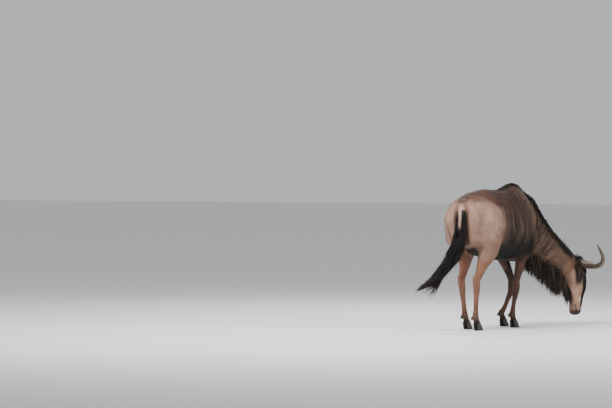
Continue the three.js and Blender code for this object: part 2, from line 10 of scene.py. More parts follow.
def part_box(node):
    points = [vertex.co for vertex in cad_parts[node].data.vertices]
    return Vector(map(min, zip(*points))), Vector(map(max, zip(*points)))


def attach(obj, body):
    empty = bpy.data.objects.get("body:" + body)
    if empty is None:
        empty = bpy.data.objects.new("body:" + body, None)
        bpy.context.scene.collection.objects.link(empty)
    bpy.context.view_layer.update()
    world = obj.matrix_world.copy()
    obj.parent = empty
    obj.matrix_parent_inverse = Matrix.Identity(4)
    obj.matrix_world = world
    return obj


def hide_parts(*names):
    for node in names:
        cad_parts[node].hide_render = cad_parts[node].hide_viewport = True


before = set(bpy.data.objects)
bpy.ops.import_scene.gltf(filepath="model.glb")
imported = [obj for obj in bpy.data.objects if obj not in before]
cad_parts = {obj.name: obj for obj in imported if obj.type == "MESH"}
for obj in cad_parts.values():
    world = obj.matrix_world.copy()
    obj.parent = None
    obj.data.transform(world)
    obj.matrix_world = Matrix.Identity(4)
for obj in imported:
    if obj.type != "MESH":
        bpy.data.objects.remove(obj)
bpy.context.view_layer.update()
bpy.ops.object.select_all(action="DESELECT")

# Studio. A pale matt floor with three soft area lights, and a long lens low over the floor behind
# the animal's right hind leg. Places are in metres from the floor under the withers, x to the front
# and y to the animal's left, or on the head from the poll: down the face, to the right and out.
PHOTO_MIDDLE = (306, 204)
PHOTO_WITHERS_COLUMN = 513
PHOTO_HORIZON_ROW = 165
PHOTO_LENS = 3200
BODY_TURN = math.radians(61)
LENS = 188.2
CAMERA_HEIGHT = 1.46
CAMERA_REACH = 29.0
POLL = np.array([0.474, -0.374, 0.590])
HEAD_TURN = math.radians(-32)
SIDES = (-1, 1)
FLOOR_SIZE = 160.0
FLOOR_DROP = 0.0005
LIT_HEIGHT = 0.7

UP = np.array([0.0, 0.0, 1.0])


def unit(v):
    v = np.asarray(v, float)
    return v / np.maximum(np.linalg.norm(v, axis=-1, keepdims=True), 1e-9)


face_out = unit([math.cos(HEAD_TURN), math.sin(HEAD_TURN), 0.04])
face_right = unit(np.cross(face_out, UP))
face_down = unit(np.cross(face_out, face_right))
face_down = face_down if face_down[2] < 0 else -face_down


def on_head(down, right, out):
    return POLL + face_down * down + face_right * right + face_out * out


EYE_AT = {side: on_head(0.106, side * 0.070, 0.036) for side in SIDES}
low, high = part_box("eye_right")
SHIFT = np.array([(low[k] + high[k]) / 2 for k in range(3)]) - EYE_AT[1]

away = np.array([math.sin(BODY_TURN), math.cos(BODY_TURN), 0.0])
photo_right = np.array([math.cos(BODY_TURN), -math.sin(BODY_TURN), 0.0])
swing = math.atan((PHOTO_WITHERS_COLUMN - PHOTO_MIDDLE[0]) / PHOTO_LENS)
dip = math.atan((PHOTO_MIDDLE[1] - PHOTO_HORIZON_ROW) / PHOTO_LENS)
aim = (away * math.cos(swing) - photo_right * math.sin(swing)) * math.cos(dip) - UP * math.sin(dip)
camera = bpy.data.objects.new("camera", bpy.data.cameras.new("camera"))
bpy.context.collection.objects.link(camera)
camera.data.lens = LENS
camera.data.sensor_width = 36.0
camera.data.clip_end = 200.0
camera.location = Vector(SHIFT * [1, 1, 0] - away * CAMERA_REACH + UP * CAMERA_HEIGHT)
camera.rotation_mode = "QUATERNION"
camera.rotation_quaternion = Vector(aim).to_track_quat("-Z", "Y")
bpy.context.scene.camera = camera

bpy.ops.mesh.primitive_plane_add(size=FLOOR_SIZE, location=(0.0, 0.0, -FLOOR_DROP))
floor = bpy.context.active_object
floor.name = "floor"
floor_paint = bpy.data.materials.new("floor_paint")
floor_paint.use_nodes = True
paint = floor_paint.node_tree.nodes["Principled BSDF"]
paint.inputs["Base Color"].default_value = (0.80, 0.79, 0.78, 1)
paint.inputs["Roughness"].default_value = 0.9
floor.data.materials.append(floor_paint)
bpy.ops.object.select_all(action="DESELECT")

world = bpy.data.worlds.new("studio")
world.use_nodes = True
world.node_tree.nodes["Background"].inputs["Color"].default_value = (0.86, 0.88, 0.91, 1)
world.node_tree.nodes["Background"].inputs["Strength"].default_value = 0.66
bpy.context.scene.world = world
for name, offset, size, power in (
    ("key_light", -away * 3.6 - photo_right * 2.6 + UP * 5.4, 2.6, 640),
    ("fill_light", -away * 3.2 + photo_right * 4.4 + UP * 2.6, 4.0, 150),
    ("rim_light", away * 3.4 - photo_right * 1.2 + UP * 4.4, 2.5, 190),
):
    lamp = bpy.data.objects.new(name, bpy.data.lights.new(name, "AREA"))
    bpy.context.collection.objects.link(lamp)
    lamp.data.size = size
    lamp.data.energy = power
    target = SHIFT * [1, 1, 0] + UP * LIT_HEIGHT
    lamp.location = Vector(target + offset)
    lamp.rotation_mode = "QUATERNION"
    lamp.rotation_quaternion = Vector(-offset).to_track_quat("-Z", "Y")

# Hide. The tanned skin of the mount, closed over trunk, neck, head, legs, ears and dock. The trunk
# and legs are fused from their solids, the neck and head are lofted through sections, and muscle,
# bone and loose folds are then pressed into it.
COAT_DEPTH = 0.004
SKIN_GRAIN = 0.0085

# Sections in millimetres: centre, half width, height to either side, and the pinch of both sides.
NECK = np.array([
    [-60, 0, 950, 120, 260, 260, 0.3, 0.1],
    [70, -8, 910, 160, 292, 285, 0.42, 0.12],
    [180, -48, 840, 148, 222, 245, 0.42, 0.18],
    [270, -126, 752, 122, 164, 205, 0.38, 0.22],
    [346, -217, 660, 102, 130, 172, 0.32, 0.22],
    [402, -300, 572, 86, 108, 146, 0.25, 0.2],
    [426, -345, 500, 78, 92, 118, 0.2, 0.2],
    [434, -362, 455, 40, 60, 60, 0, 0],
], float)
HEAD = np.array([
    [-20, -14, 12, 20, 16, 0, 0],
    [-6, -14, 54, 66, 62, 0.1, 0.1],
    [32, -6, 80, 92, 112, 0.1, 0.1],
    [80, 2, 87, 102, 142, 0.22, 0.3],
    [130, 6, 86, 108, 156, 0.32, 0.45],
    [180, 6, 76, 114, 144, 0.36, 0.5],
    [235, 2, 62, 112, 112, 0.34, 0.45],
    [292, -6, 53, 98, 84, 0.3, 0.35],
    [345, -8, 50, 84, 66, 0.22, 0.25],
    [395, -10, 56, 70, 56, 0.08, 0.12],
    [440, -12, 64, 60, 52, 0, 0.05],
    [475, -12, 60, 48, 45, 0, 0],
    [494, -12, 42, 32, 30, 0, 0],
    [500, -12, 8, 6, 6, 0, 0],
], float)


def along(table, t):
    """Rows of a table read at shares t, on a smooth curve through them."""
    place = np.clip(np.atleast_1d(t), 0, 1) * (len(table) - 1)
    i = np.minimum(place.astype(int), len(table) - 2)
    f = (place - i)[:, None]
    row = lambda k: table[np.clip(k, 0, len(table) - 1)]
    a, b, c, d = row(i - 1), row(i), row(i + 1), row(i + 2)
    h = f * f
    return ((2 * h * f - 3 * h + 1) * b + (h * f - 2 * h + f) * (c - a) / 2
            + (3 * h - 2 * h * f) * c + (h * f - h) * (d - b) / 2)


def sections(table, t, reference):
    """Centre, axis, top, side and sizes of the sections at shares t, in metres."""
    rows = along(table, t)
    axis = unit(along(table[:, :3], t + 0.01) - along(table[:, :3], t - 0.01))
    top = unit(reference - axis * (axis @ reference)[:, None])
    side = np.cross(axis, top)
    return rows[:, :3] / 1000, axis, top, side, np.maximum(rows[:, 3:6], 1) / 1000, rows[:, 6:8]


def rim(parts, angle, grow=0.0):
    """Points on the sections at an angle: 0 at the side, a quarter turn at the top."""
    centre, axis, top, side, size, pinch = parts
    s, c = np.sin(angle), np.cos(angle)
    narrow = 1 - np.where(s > 0, pinch[:, 0], pinch[:, 1]) * s * s
    across = (size[:, 0] * narrow + grow) * c
    high = (np.where(s > 0, size[:, 1], size[:, 2]) + grow) * s
    return centre + side * across[:, None] + top * high[:, None]


def tube_faces(levels, around, first=0):
    """Quads between rings of points that follow one another, each ring closed."""
    faces = []
    for r in range(levels - 1):
        here, there = first + r * around, first + (r + 1) * around
        for i in range(around):
            j = (i + 1) % around
            faces.append((here + i, here + j, there + j, there + i))
    return faces


def capped_tube(levels, around, first=0):
    """The faces of a tube, with one flat face over each end."""
    start = tuple(range(first, first + around))
    end = tuple(first + (levels - 1) * around + i for i in range(around))
    return tube_faces(levels, around, first) + [start[::-1], end]


def add_mesh(name, points, faces, smooth=True):
    """An object made of places on the body and the faces between them, turned outward."""
    mesh = bpy.data.meshes.new(name)
    mesh.from_pydata((np.asarray(points) + SHIFT).tolist(), [], faces)
    shell = bmesh.new()
    shell.from_mesh(mesh)
    bmesh.ops.recalc_face_normals(shell, faces=shell.faces)
    shell.to_mesh(mesh)
    shell.free()
    mesh.polygons.foreach_set("use_smooth", np.full(len(mesh.polygons), smooth))
    made = bpy.data.objects.new(name, mesh)
    bpy.context.collection.objects.link(made)
    return made


def loft(name, parts, sides):
    """A closed tube through the sections, with a pole at each end."""
    turns = np.arange(sides) * 2 * math.pi / sides
    rings = np.stack([rim(parts, np.full(len(parts[0]), turn)) for turn in turns], 1)
    levels = len(rings)
    points = np.vstack([rings.reshape(-1, 3), rings[0].mean(0), rings[-1].mean(0)])
    faces = tube_faces(levels, sides)
    end = (levels - 1) * sides
    for i in range(sides):
        j = (i + 1) % sides
        faces.append((levels * sides, j, i))
        faces.append((levels * sides + 1, end + i, end + j))
    return add_mesh(name, points, faces, smooth=False)


NECK_REFERENCE = np.array([0.3, -0.2, 1.0])
head_table = np.array([
    [*(on_head(down / 1000, 0, out / 1000) * 1000), *sizes] for down, out, *sizes in HEAD
])
neck_core = loft("neck_core", sections(NECK, np.linspace(0, 1, 60), NECK_REFERENCE), 48)
head_core = loft("head_core", sections(head_table, np.linspace(0, 1, 110), face_out), 72)
head_points = np.array([v.co for v in head_core.data.vertices]) - SHIFT
# Brow, hollow before the eye, jaw, nostril and lip: place in millimetres, then reach and rise.
HEAD_SWELLS = (
    (90, 80, 44, 36, 14), (165, 72, 56, 30, -6), (170, 66, -70, 60, 8), (452, 42, 30, 26, 9),
    (462, 46, -34, 30, 6),
)
for side in SIDES:
    for down, right, out, reach, rise in HEAD_SWELLS:
        gap = head_points - on_head(down / 1000, side * right / 1000, out / 1000)
        push = rise / 1000 * np.exp(-(gap ** 2).sum(1) / (reach / 1000) ** 2)
        head_points += unit(head_points - on_head(0.2, 0, 0)) * push[:, None] * 0.9
head_core.data.vertices.foreach_set("co", (head_points + SHIFT).ravel())

flesh = [neck_core, head_core]
for node in ("torso", "leg_fore_left", "leg_fore_right", "leg_hind_left", "leg_hind_right", "tail_dock"):
    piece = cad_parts[node].copy()
    piece.data = piece.data.copy()
    piece.data.materials.clear()
    bpy.context.collection.objects.link(piece)
    piece.parent = None
    flesh.append(piece)
for piece in flesh:
    piece.select_set(True)
bpy.context.view_layer.objects.active = neck_core
bpy.ops.object.join()
skin = bpy.context.active_object
skin.name = "hide"
skin.data.materials.clear()
bpy.ops.object.mode_set(mode="EDIT")
bpy.ops.mesh.select_all(action="SELECT")
bpy.ops.mesh.remove_doubles(threshold=0.00002)
bpy.ops.object.mode_set(mode="OBJECT")
remesh = skin.modifiers.new("fuse", "REMESH")
remesh.mode = "VOXEL"
remesh.voxel_size = SKIN_GRAIN
bpy.ops.object.modifier_apply(modifier="fuse")


def neighbours(mesh):
    """The two ends of every edge."""
    edges = np.empty(len(mesh.edges) * 2, np.int32)
    mesh.edges.foreach_get("vertices", edges)
    return edges.reshape(-1, 2)


def largest_shell(mesh):
    """Drops everything in a mesh but its largest connected surface."""
    edges = neighbours(mesh)
    label = np.arange(len(mesh.vertices))
    while True:
        least = label.copy()
        np.minimum.at(least, edges[:, 0], label[edges[:, 1]])
        np.minimum.at(least, edges[:, 1], label[edges[:, 0]])
        least = least[least]
        least = least[least]
        if (least == label).all():
            break
        label = least
    names, sizes = np.unique(label, return_counts=True)
    keep = names[sizes.argmax()]
    if len(names) > 1:
        shell = bmesh.new()
        shell.from_mesh(mesh)
        shell.verts.ensure_lookup_table()
        loose = [shell.verts[i] for i in np.nonzero(label != keep)[0]]
        bmesh.ops.delete(shell, geom=loose, context="VERTS")
        shell.to_mesh(mesh)
        shell.free()


largest_shell(skin.data)


def read_points(mesh, field="co"):
    """The points of a mesh, or their normals."""
    values = np.empty(len(mesh.vertices) * 3)
    if field == "co":
        mesh.vertices.foreach_get("co", values)
    else:
        mesh.vertex_normals.foreach_get("vector", values)
    return values.reshape(-1, 3)


INWARD = 0.5
OUTWARD = -0.52


def relax(points, edges, weight, rounds):
    """Smooths points towards their neighbours, then back out, so that limbs keep their girth."""
    count = np.bincount(edges.ravel(), minlength=len(points))[:, None]
    for turn in range(rounds * 2):
        total = np.zeros_like(points)
        for k in range(3):
            total[:, k] = (np.bincount(edges[:, 0], points[edges[:, 1], k], len(points))
                           + np.bincount(edges[:, 1], points[edges[:, 0], k], len(points)))
        share = INWARD if turn % 2 == 0 else OUTWARD
        points = points + (total / count - points) * weight[:, None] * share
    return points


def smoothstep(low, high, value):
    """Goes softly from 0 at low to 1 at high; low may be the greater of the two."""
    t = np.clip((value - low) / (high - low), 0, 1)
    return t * t * (3 - 2 * t)


points = read_points(skin.data) - SHIFT
before_poll = (points - POLL) @ face_out + 0.42
trunk = smoothstep(0.52, 0.70, points[:, 2]) * (1 - smoothstep(0.33, 0.42, before_poll))
points = relax(points, neighbours(skin.data), 0.35 + 0.65 * trunk, 14)
points = relax(points, neighbours(skin.data), trunk, 40)
skin.data.vertices.foreach_set("co", (points + SHIFT).ravel())
skin.data.update()

# The head and the muzzle are divided once more, for lips, nostrils and the rims of the eyes.
def divide(mesh, chosen):
    """Splits the edges whose two ends are chosen, and keeps the mesh in triangles and quads."""
    shell = bmesh.new()
    shell.from_mesh(mesh)
    shell.verts.ensure_lookup_table()
    flags = chosen.tolist()
    edges = [e for e in shell.edges if flags[e.verts[0].index] and flags[e.verts[1].index]]
    bmesh.ops.subdivide_edges(shell, edges=edges, cuts=1, use_grid_fill=True)
    bmesh.ops.triangulate(shell, faces=[f for f in shell.faces if len(f.verts) > 4])
    shell.to_mesh(mesh)
    shell.free()


def head_place(points):
    """How far down the face, to the right and out from the poll each point lies."""
    gap = points - POLL
    return gap @ face_down, gap @ face_right, gap @ face_out


down, right, out = head_place(points)
divide(skin.data, (down > -0.03) & (out > -0.16) & (np.abs(right) < 0.12) & (out + 0.3 * down > -0.15))
points = read_points(skin.data) - SHIFT
down, right, out = head_place(points)
eye_near = np.minimum(*[np.linalg.norm(points - EYE_AT[s], axis=1) for s in SIDES])
divide(skin.data, ((down > 0.40) & (out > -0.12)) | (eye_near < 0.045))

# Muscle, bone and folds: each is a soft ridge or groove between two points, with its reach and rise.
# The rows give one side, in body or head places, and are mirrored to the other.
BODY_RIDGES = (
    ((-0.60, 0.17, 1.17), (-0.56, 0.20, 1.13), 0.050, 0.016),   # point of the hip
    ((-0.84, 0.10, 1.06), (-0.88, 0.12, 0.97), 0.050, 0.012),   # seat bone
    ((-0.74, 0.21, 1.02), (-0.66, 0.23, 0.84), 0.075, 0.012),   # thigh
    ((-0.85, 0.19, 1.00), (-0.83, 0.20, 0.76), 0.026, -0.013),  # groove behind the thigh
    ((-0.88, 0.12, 0.92), (-0.86, 0.13, 0.74), 0.030, 0.010),
    ((-0.76, 0.22, 0.86), (-0.80, 0.16, 0.66), 0.028, -0.010),
    ((-0.47, 0.24, 1.02), (-0.44, 0.22, 0.84), 0.070, -0.016),  # hollow of the flank
    ((-0.53, 0.20, 0.76), (-0.40, 0.19, 0.68), 0.030, 0.012),   # fold before the thigh
    ((0.05, 0.15, 1.20), (0.10, 0.21, 0.86), 0.028, 0.010),     # shoulder blade
    ((-0.04, 0.18, 1.14), (0.03, 0.23, 0.86), 0.042, -0.009),
    ((0.10, 0.14, 1.16), (0.15, 0.19, 0.90), 0.034, -0.009),
    ((0.10, 0.20, 0.82), (0.14, 0.20, 0.76), 0.045, 0.014),     # point of the shoulder
    ((-0.08, 0.23, 0.86), (-0.03, 0.22, 0.72), 0.050, 0.010),   # upper arm
    ((-0.13, 0.24, 0.98), (-0.16, 0.22, 0.70), 0.045, -0.008),
)
HEAD_RIDGES = (
    ((0.085, 0.075, 0.062), (0.088, 0.083, 0.020), 0.014, 0.007),      # brow
    ((0.150, 0.078, 0.030), (0.290, 0.052, 0.010), 0.016, 0.006),      # cheek bone
    ((0.150, 0.066, 0.062), (0.230, 0.050, 0.052), 0.015, -0.006),
    ((0.120, 0.080, -0.030), (0.215, 0.060, -0.100), 0.035, 0.009),    # jaw muscle
    ((0.235, 0.064, -0.020), (0.330, 0.050, -0.030), 0.022, -0.006),
    ((0.444, 0.048, 0.034), (0.466, 0.058, 0.010), 0.0095, -0.026),    # nostril and its rims
    ((0.426, 0.048, 0.040), (0.438, 0.064, 0.018), 0.011, 0.009),
    ((0.450, 0.066, 0.006), (0.474, 0.060, -0.002), 0.010, 0.007),
    ((0.470, 0.044, 0.030), (0.478, 0.058, 0.010), 0.009, 0.004),
    ((0.392, 0.060, -0.026), (0.470, 0.066, -0.030), 0.0048, -0.010),  # mouth line and lips
    ((0.400, 0.058, -0.014), (0.470, 0.064, -0.017), 0.009, 0.004),
    ((0.405, 0.056, -0.038), (0.465, 0.062, -0.044), 0.009, 0.003),
    ((0.470, 0.066, -0.030), (0.497, 0.020, -0.028), 0.0048, -0.010),
)
RIB_GAP = 0.045
FOLD_EDGE = 2.6
ridges = []
for s in SIDES:
    flip = np.array([1, s, 1])
    ridges += [(flip * a, flip * b, reach, rise) for a, b, reach, rise in BODY_RIDGES]
    for k in range(6):
        x = -0.20 - RIB_GAP * k
        ridges.append(((x, s * 0.25, 0.96), (x - 0.05, s * 0.23, 0.76), 0.013, 0.003))
for x, top in ((0.185, 1.06), (0.225, 1.02), (0.265, 0.97)):
    ridges.append(((x, -0.18, top - 0.02), (x + 0.02, -0.22, top - 0.22), 0.012, 0.006))
for s in SIDES:
    flip = np.array([1, s, 1])
    ridges += [(on_head(*flip * a), on_head(*flip * b), reach, rise) for a, b, reach, rise in HEAD_RIDGES]
for knee, line in ((-0.150, -0.103), (0.118, 0.083)):
    ridges.append(((knee + 0.03, line * 1.1, 0.40), (knee + 0.03, line * 1.1, 0.35), 0.026, 0.006))
for hock, line in ((-0.862, -0.113), (-0.728, 0.113)):
    ridges.append(((hock - 0.04, line, 0.47), (hock - 0.045, line, 0.42), 0.022, 0.010))
    for s in SIDES:
        above, below = (hock - 0.012, line + s * 0.034, 0.56), (hock - 0.02, line + s * 0.03, 0.46)
        ridges.append((above, below, 0.014, -0.007))


def press(points, normals, folds):
    """Moves points along their normals by the folds that they lie near."""
    moved = points.copy()
    for a, b, reach, rise in folds:
        a, b = np.array(a), np.array(b)
        box_low = np.minimum(a, b) - reach * FOLD_EDGE
        box_high = np.maximum(a, b) + reach * FOLD_EDGE
        near = np.nonzero(((points > box_low) & (points < box_high)).all(1))[0]
        if not len(near):
            continue
        way = b - a
        share = np.clip(((points[near] - a) @ way) / max(way @ way, 1e-9), 0, 1)
        gap = np.linalg.norm(points[near] - a - share[:, None] * way, axis=1)
        moved[near] += normals[near] * (rise * np.exp(-(gap / reach) ** 2))[:, None]
    return moved


EYE_HOLLOW = 0.030
HOLLOW_DEPTH = 0.010
points, normals = read_points(skin.data) - SHIFT, read_points(skin.data, "normal")
points = points - normals * COAT_DEPTH
points = press(points, normals, ridges)
for s in SIDES:
    hollow = np.clip(1 - np.linalg.norm(points - EYE_AT[s], axis=1) / EYE_HOLLOW, 0, 1)
    points -= normals * hollow[:, None] * HOLLOW_DEPTH
skin.data.vertices.foreach_set("co", (points + SHIFT).ravel())
skin.data.update()

# Ears. Long leaf-shaped cups of skin and gristle, rolled at the root and set behind the horns, each
# made of an inner and an outer wall that meet in the rim, and joined to the hide.
EAR_LENGTH = 0.185
EAR_END = 0.2
EAR_GIRTH = 0.062
EAR_WIDTHS = np.array([[0.017], [0.026], [0.033], [0.034], [0.029], [0.018], [0.002]])
EAR_WALL = 0.0026
EAR_CURL = 1.45
ear_frames = {}
for side in SIDES:
    root = on_head(0.056, side * 0.072, -0.036)
    droop = -0.05 if side < 0 else -0.62
    reach = unit(face_right * side * 0.62 + face_down * droop - face_out * 0.5)
    opening = face_out * 0.75 + face_down * 0.25 + face_right * side * 0.5
    opening = unit(opening - reach * (opening @ reach))
    across = np.cross(reach, opening)
    ear_frames[side] = (root, reach, opening)
    levels, sides = 26, 20
    verts = []
    for layer in (0, 1):
        for i in range(levels):
            t = i / (levels - 1)
            width = float(along(EAR_WIDTHS, t)[0, 0])
            cup = width * (0.62 - 0.38 * t)
            curl = EAR_CURL + 0.30 * (1 - t) ** 2
            middle = root + reach * EAR_LENGTH * (t - 0.06) - UP * 0.014 * math.sin(t * math.pi)
            for j in range(sides + 1):
                a = (j / sides - 0.5) * 2
                wall = EAR_WALL * (1 - abs(a)) * layer
                x = width * math.sin(a * curl) / math.sin(min(curl, 1.57)) * (1 - 0.05 * layer)
                z = cup * (1 - math.cos(a * EAR_CURL)) - cup * 0.55 + wall
                verts.append(middle + across * x + opening * z)
    faces = []
    ring = sides + 1
    for layer in (0, 1):
        for i in range(levels - 1):
            for j in range(sides):
                k = layer * levels * ring + i * ring + j
                quad = (k, k + 1, k + ring + 1, k + ring)
                faces.append(quad if layer else quad[::-1])
    second = levels * ring
    border = ([i * ring for i in range(levels)] + [(levels - 1) * ring + j for j in range(1, ring)]
              + [i * ring + sides for i in range(levels - 2, -1, -1)] + list(range(sides - 1, 0, -1)))
    for a, b in zip(border, border[1:] + border[:1]):
        faces.append((a, b, b + second, a + second))
    add_mesh("ear_cup", verts, faces, smooth=False).select_set(True)
skin.select_set(True)
bpy.context.view_layer.objects.active = skin
bpy.ops.object.join()
bpy.ops.object.select_all(action="DESELECT")
skin.data.polygons.foreach_set("use_smooth", np.ones(len(skin.data.polygons), bool))

# Eyelids. An almond rim of thick skin round each eye, with the brow above, modelled as a collar of
# rings from the edge of the lid out into the hollow, and joined to the hide.
EYE_BALL = 0.0196
LID_RINGS = (
    (0.03, 0.0186), (-0.02, 0.0200), (0.00, 0.0214), (0.10, 0.0228), (0.24, 0.0233), (0.42, 0.0236),
    (0.60, 0.0240), (0.80, 0.0236), (1.0, 0.0225), (1.15, 0.0180),
)
eye_axes = {}
for side in SIDES:
    gaze = unit(face_right * side * 0.92 + face_out * 0.34 - face_down * 0.06)
    corner = unit(face_down * 0.90 + face_out * 0.18)
    corner = unit(corner - gaze * (corner @ gaze))
    brow = np.cross(gaze, corner)
    brow = brow if brow @ face_out > 0 else -brow
    eye_axes[side] = (gaze, corner, brow)
    around, rings = 56, []
    turn = np.arange(around) * 2 * math.pi / around
    c, s = np.cos(turn), np.sin(turn)
    opening = 1 / np.sqrt((c / 1.02) ** 2 + (s / np.where(s > 0, 0.60, 0.52)) ** 2)
    rim_way = corner * c[:, None] + brow * s[:, None]
    for share, reach in LID_RINGS:
        wide = opening * (1 - np.clip(share, -1, 1)) + 1.42 * share
        brow_rise = 0.0022 * np.exp(-((share - 0.45) / 0.25) ** 2) * np.maximum(s, 0)
        way = gaze * np.cos(wide)[:, None] + rim_way * np.sin(wide)[:, None]
        rings.append(EYE_AT[side] + (reach + brow_rise)[:, None] * way)
    add_mesh("eyelid", np.vstack(rings), capped_tube(len(rings), around)).select_set(True)
skin.select_set(True)
bpy.context.view_layer.objects.active = skin
bpy.ops.object.join()
bpy.ops.object.select_all(action="DESELECT")

# Markings and painted shade. They are worked out from the place on the body, the same for the skin
# and for the hair that grows from it: pale rump, dark back, striped shoulder and neck, tan legs, black
# face, and painted shade under the body, between the thighs, on the far foreleg, in the ear cups, the
# nostrils and the mouth.
SPINE = np.vstack([
    [-1.02, 0, 0.95], [-0.5, 0, 0.94], [-0.06, 0, 0.95],
    along(NECK, np.linspace(0.16, 1, 14))[:, :3] / 1000,
])
SPINE_START = -0.96
spine_steps = np.linalg.norm(np.diff(SPINE, axis=0), axis=1)
SPINE_RUN = np.concatenate([[0], np.cumsum(spine_steps)]) + SPINE_START


def spine_place(points):
    """How far along the spine each point lies, and which way the spine runs there."""
    best = np.full(len(points), 1e9)
    run = np.zeros(len(points))
    way = np.zeros((len(points), 3))
    for k in range(len(SPINE) - 1):
        a, b = SPINE[k], SPINE[k + 1]
        step = b - a
        share = np.clip((points - a) @ step / (step @ step), 0, 1)
        gap = np.linalg.norm(points - a - share[:, None] * step, axis=1)
        near = gap < best
        best[near] = gap[near]
        run[near] = (SPINE_RUN[k] + share * np.linalg.norm(step))[near]
        way[near] = unit(step)
    return run, way


def blend(base, colour, mask):
    """Lays a colour over others where the mask is one."""
    return base + (np.asarray(colour) - base) * np.clip(mask, 0, 1)[:, None]


def bell(*terms):
    """A soft spot: one at its middle, falling off over the reach given with each offset."""
    return np.exp(-sum((gap / reach) ** 2 for gap, reach in terms))


def is_head(points):
    """How far each point belongs to the head."""
    down, right, out = head_place(points)
    back = out + 0.25 * np.maximum(down - 0.1, 0)
    return smoothstep(-0.02, 0.03, down) * smoothstep(-0.175, -0.115, back) * (np.abs(right) < 0.30)


def is_leg(points):
    """How far each point belongs to a leg."""
    x, y, z = points.T
    # The underside and the inner sides between the legs are left out, so the painted shade there stays.
    under_belly = smoothstep(-0.60, -0.52, x) * smoothstep(-0.16, -0.22, x) * smoothstep(0.48, 0.54, z)
    between = smoothstep(0.075, 0.045, np.abs(y)) * smoothstep(0.50, 0.58, z)
    return smoothstep(0.70, 0.56, z) * (x < 0.20) * (1 - under_belly) * (1 - between)


def face_colour(points):
    """Tan cheeks, black front from horns to nose, dark eye rims, grey muzzle, painted shade in nostrils and
    mouth.
    """
    down, right, out = head_place(points)
    colour = np.tile([0.245, 0.176, 0.136], (len(points), 1))
    colour = blend(colour, [0.330, 0.245, 0.200], bell((down - 0.30, 0.09), (out + 0.03, 0.05)) * 0.8)
    colour = blend(colour, [0.520, 0.450, 0.410], bell((down - 0.350, 0.022), (out - 0.022, 0.012)) * 0.9)
    colour = blend(colour, [0.110, 0.074, 0.055], smoothstep(-0.03, -0.10, out) * 0.6)
    patch = smoothstep(0.24, 0.17, down) * smoothstep(-0.055, -0.030, out - 0.15 * np.maximum(down - 0.12, 0))
    colour = blend(colour, [0.024, 0.015, 0.012], patch)
    colour = blend(colour, [0.105, 0.054, 0.032], bell((down - 0.100, 0.034), (out - 0.006, 0.016)) * 0.85)
    colour = blend(colour, [0.330, 0.255, 0.215], bell((down - 0.190, 0.040), (out - 0.044, 0.007)) * 0.85)
    narrower = 0.035 * smoothstep(0.24, 0.42, down)
    front = smoothstep(0.020, 0.032, out - 0.030 + narrower) * smoothstep(0.47, 0.43, down)
    colour = blend(colour, [0.006, 0.005, 0.005], front)
    colour = blend(colour, [0.020, 0.014, 0.011], smoothstep(0.05, 0.01, down) * (out > -0.03))
    colour = blend(colour, [0.062, 0.046, 0.040], smoothstep(0.43, 0.460, down) * 0.92)
    throat = smoothstep(-0.075, -0.12, out) * smoothstep(0.08, 0.2, down)
    colour = blend(colour, [0.045, 0.030, 0.024], throat * 0.7)
    for s in SIDES:
        ball = np.linalg.norm(points - EYE_AT[s], axis=1)
        colour = blend(colour, [0.010, 0.008, 0.007], smoothstep(0.0290, 0.0232, ball))
        # Painted shade: the nostril openings, only dented into the hide, are painted near black.
        nostril = np.linalg.norm(points - on_head(0.456, s * 0.050, 0.022), axis=1)
        colour = blend(colour, [0.004, 0.003, 0.003], smoothstep(0.021, 0.011, nostril))
    # Painted shade along the line of the mouth between the lips.
    mouth = smoothstep(0.006, 0.002, np.abs(out + 0.029)) * smoothstep(0.385, 0.40, down)
    return blend(colour, [0.010, 0.008, 0.008], mouth * 0.9)


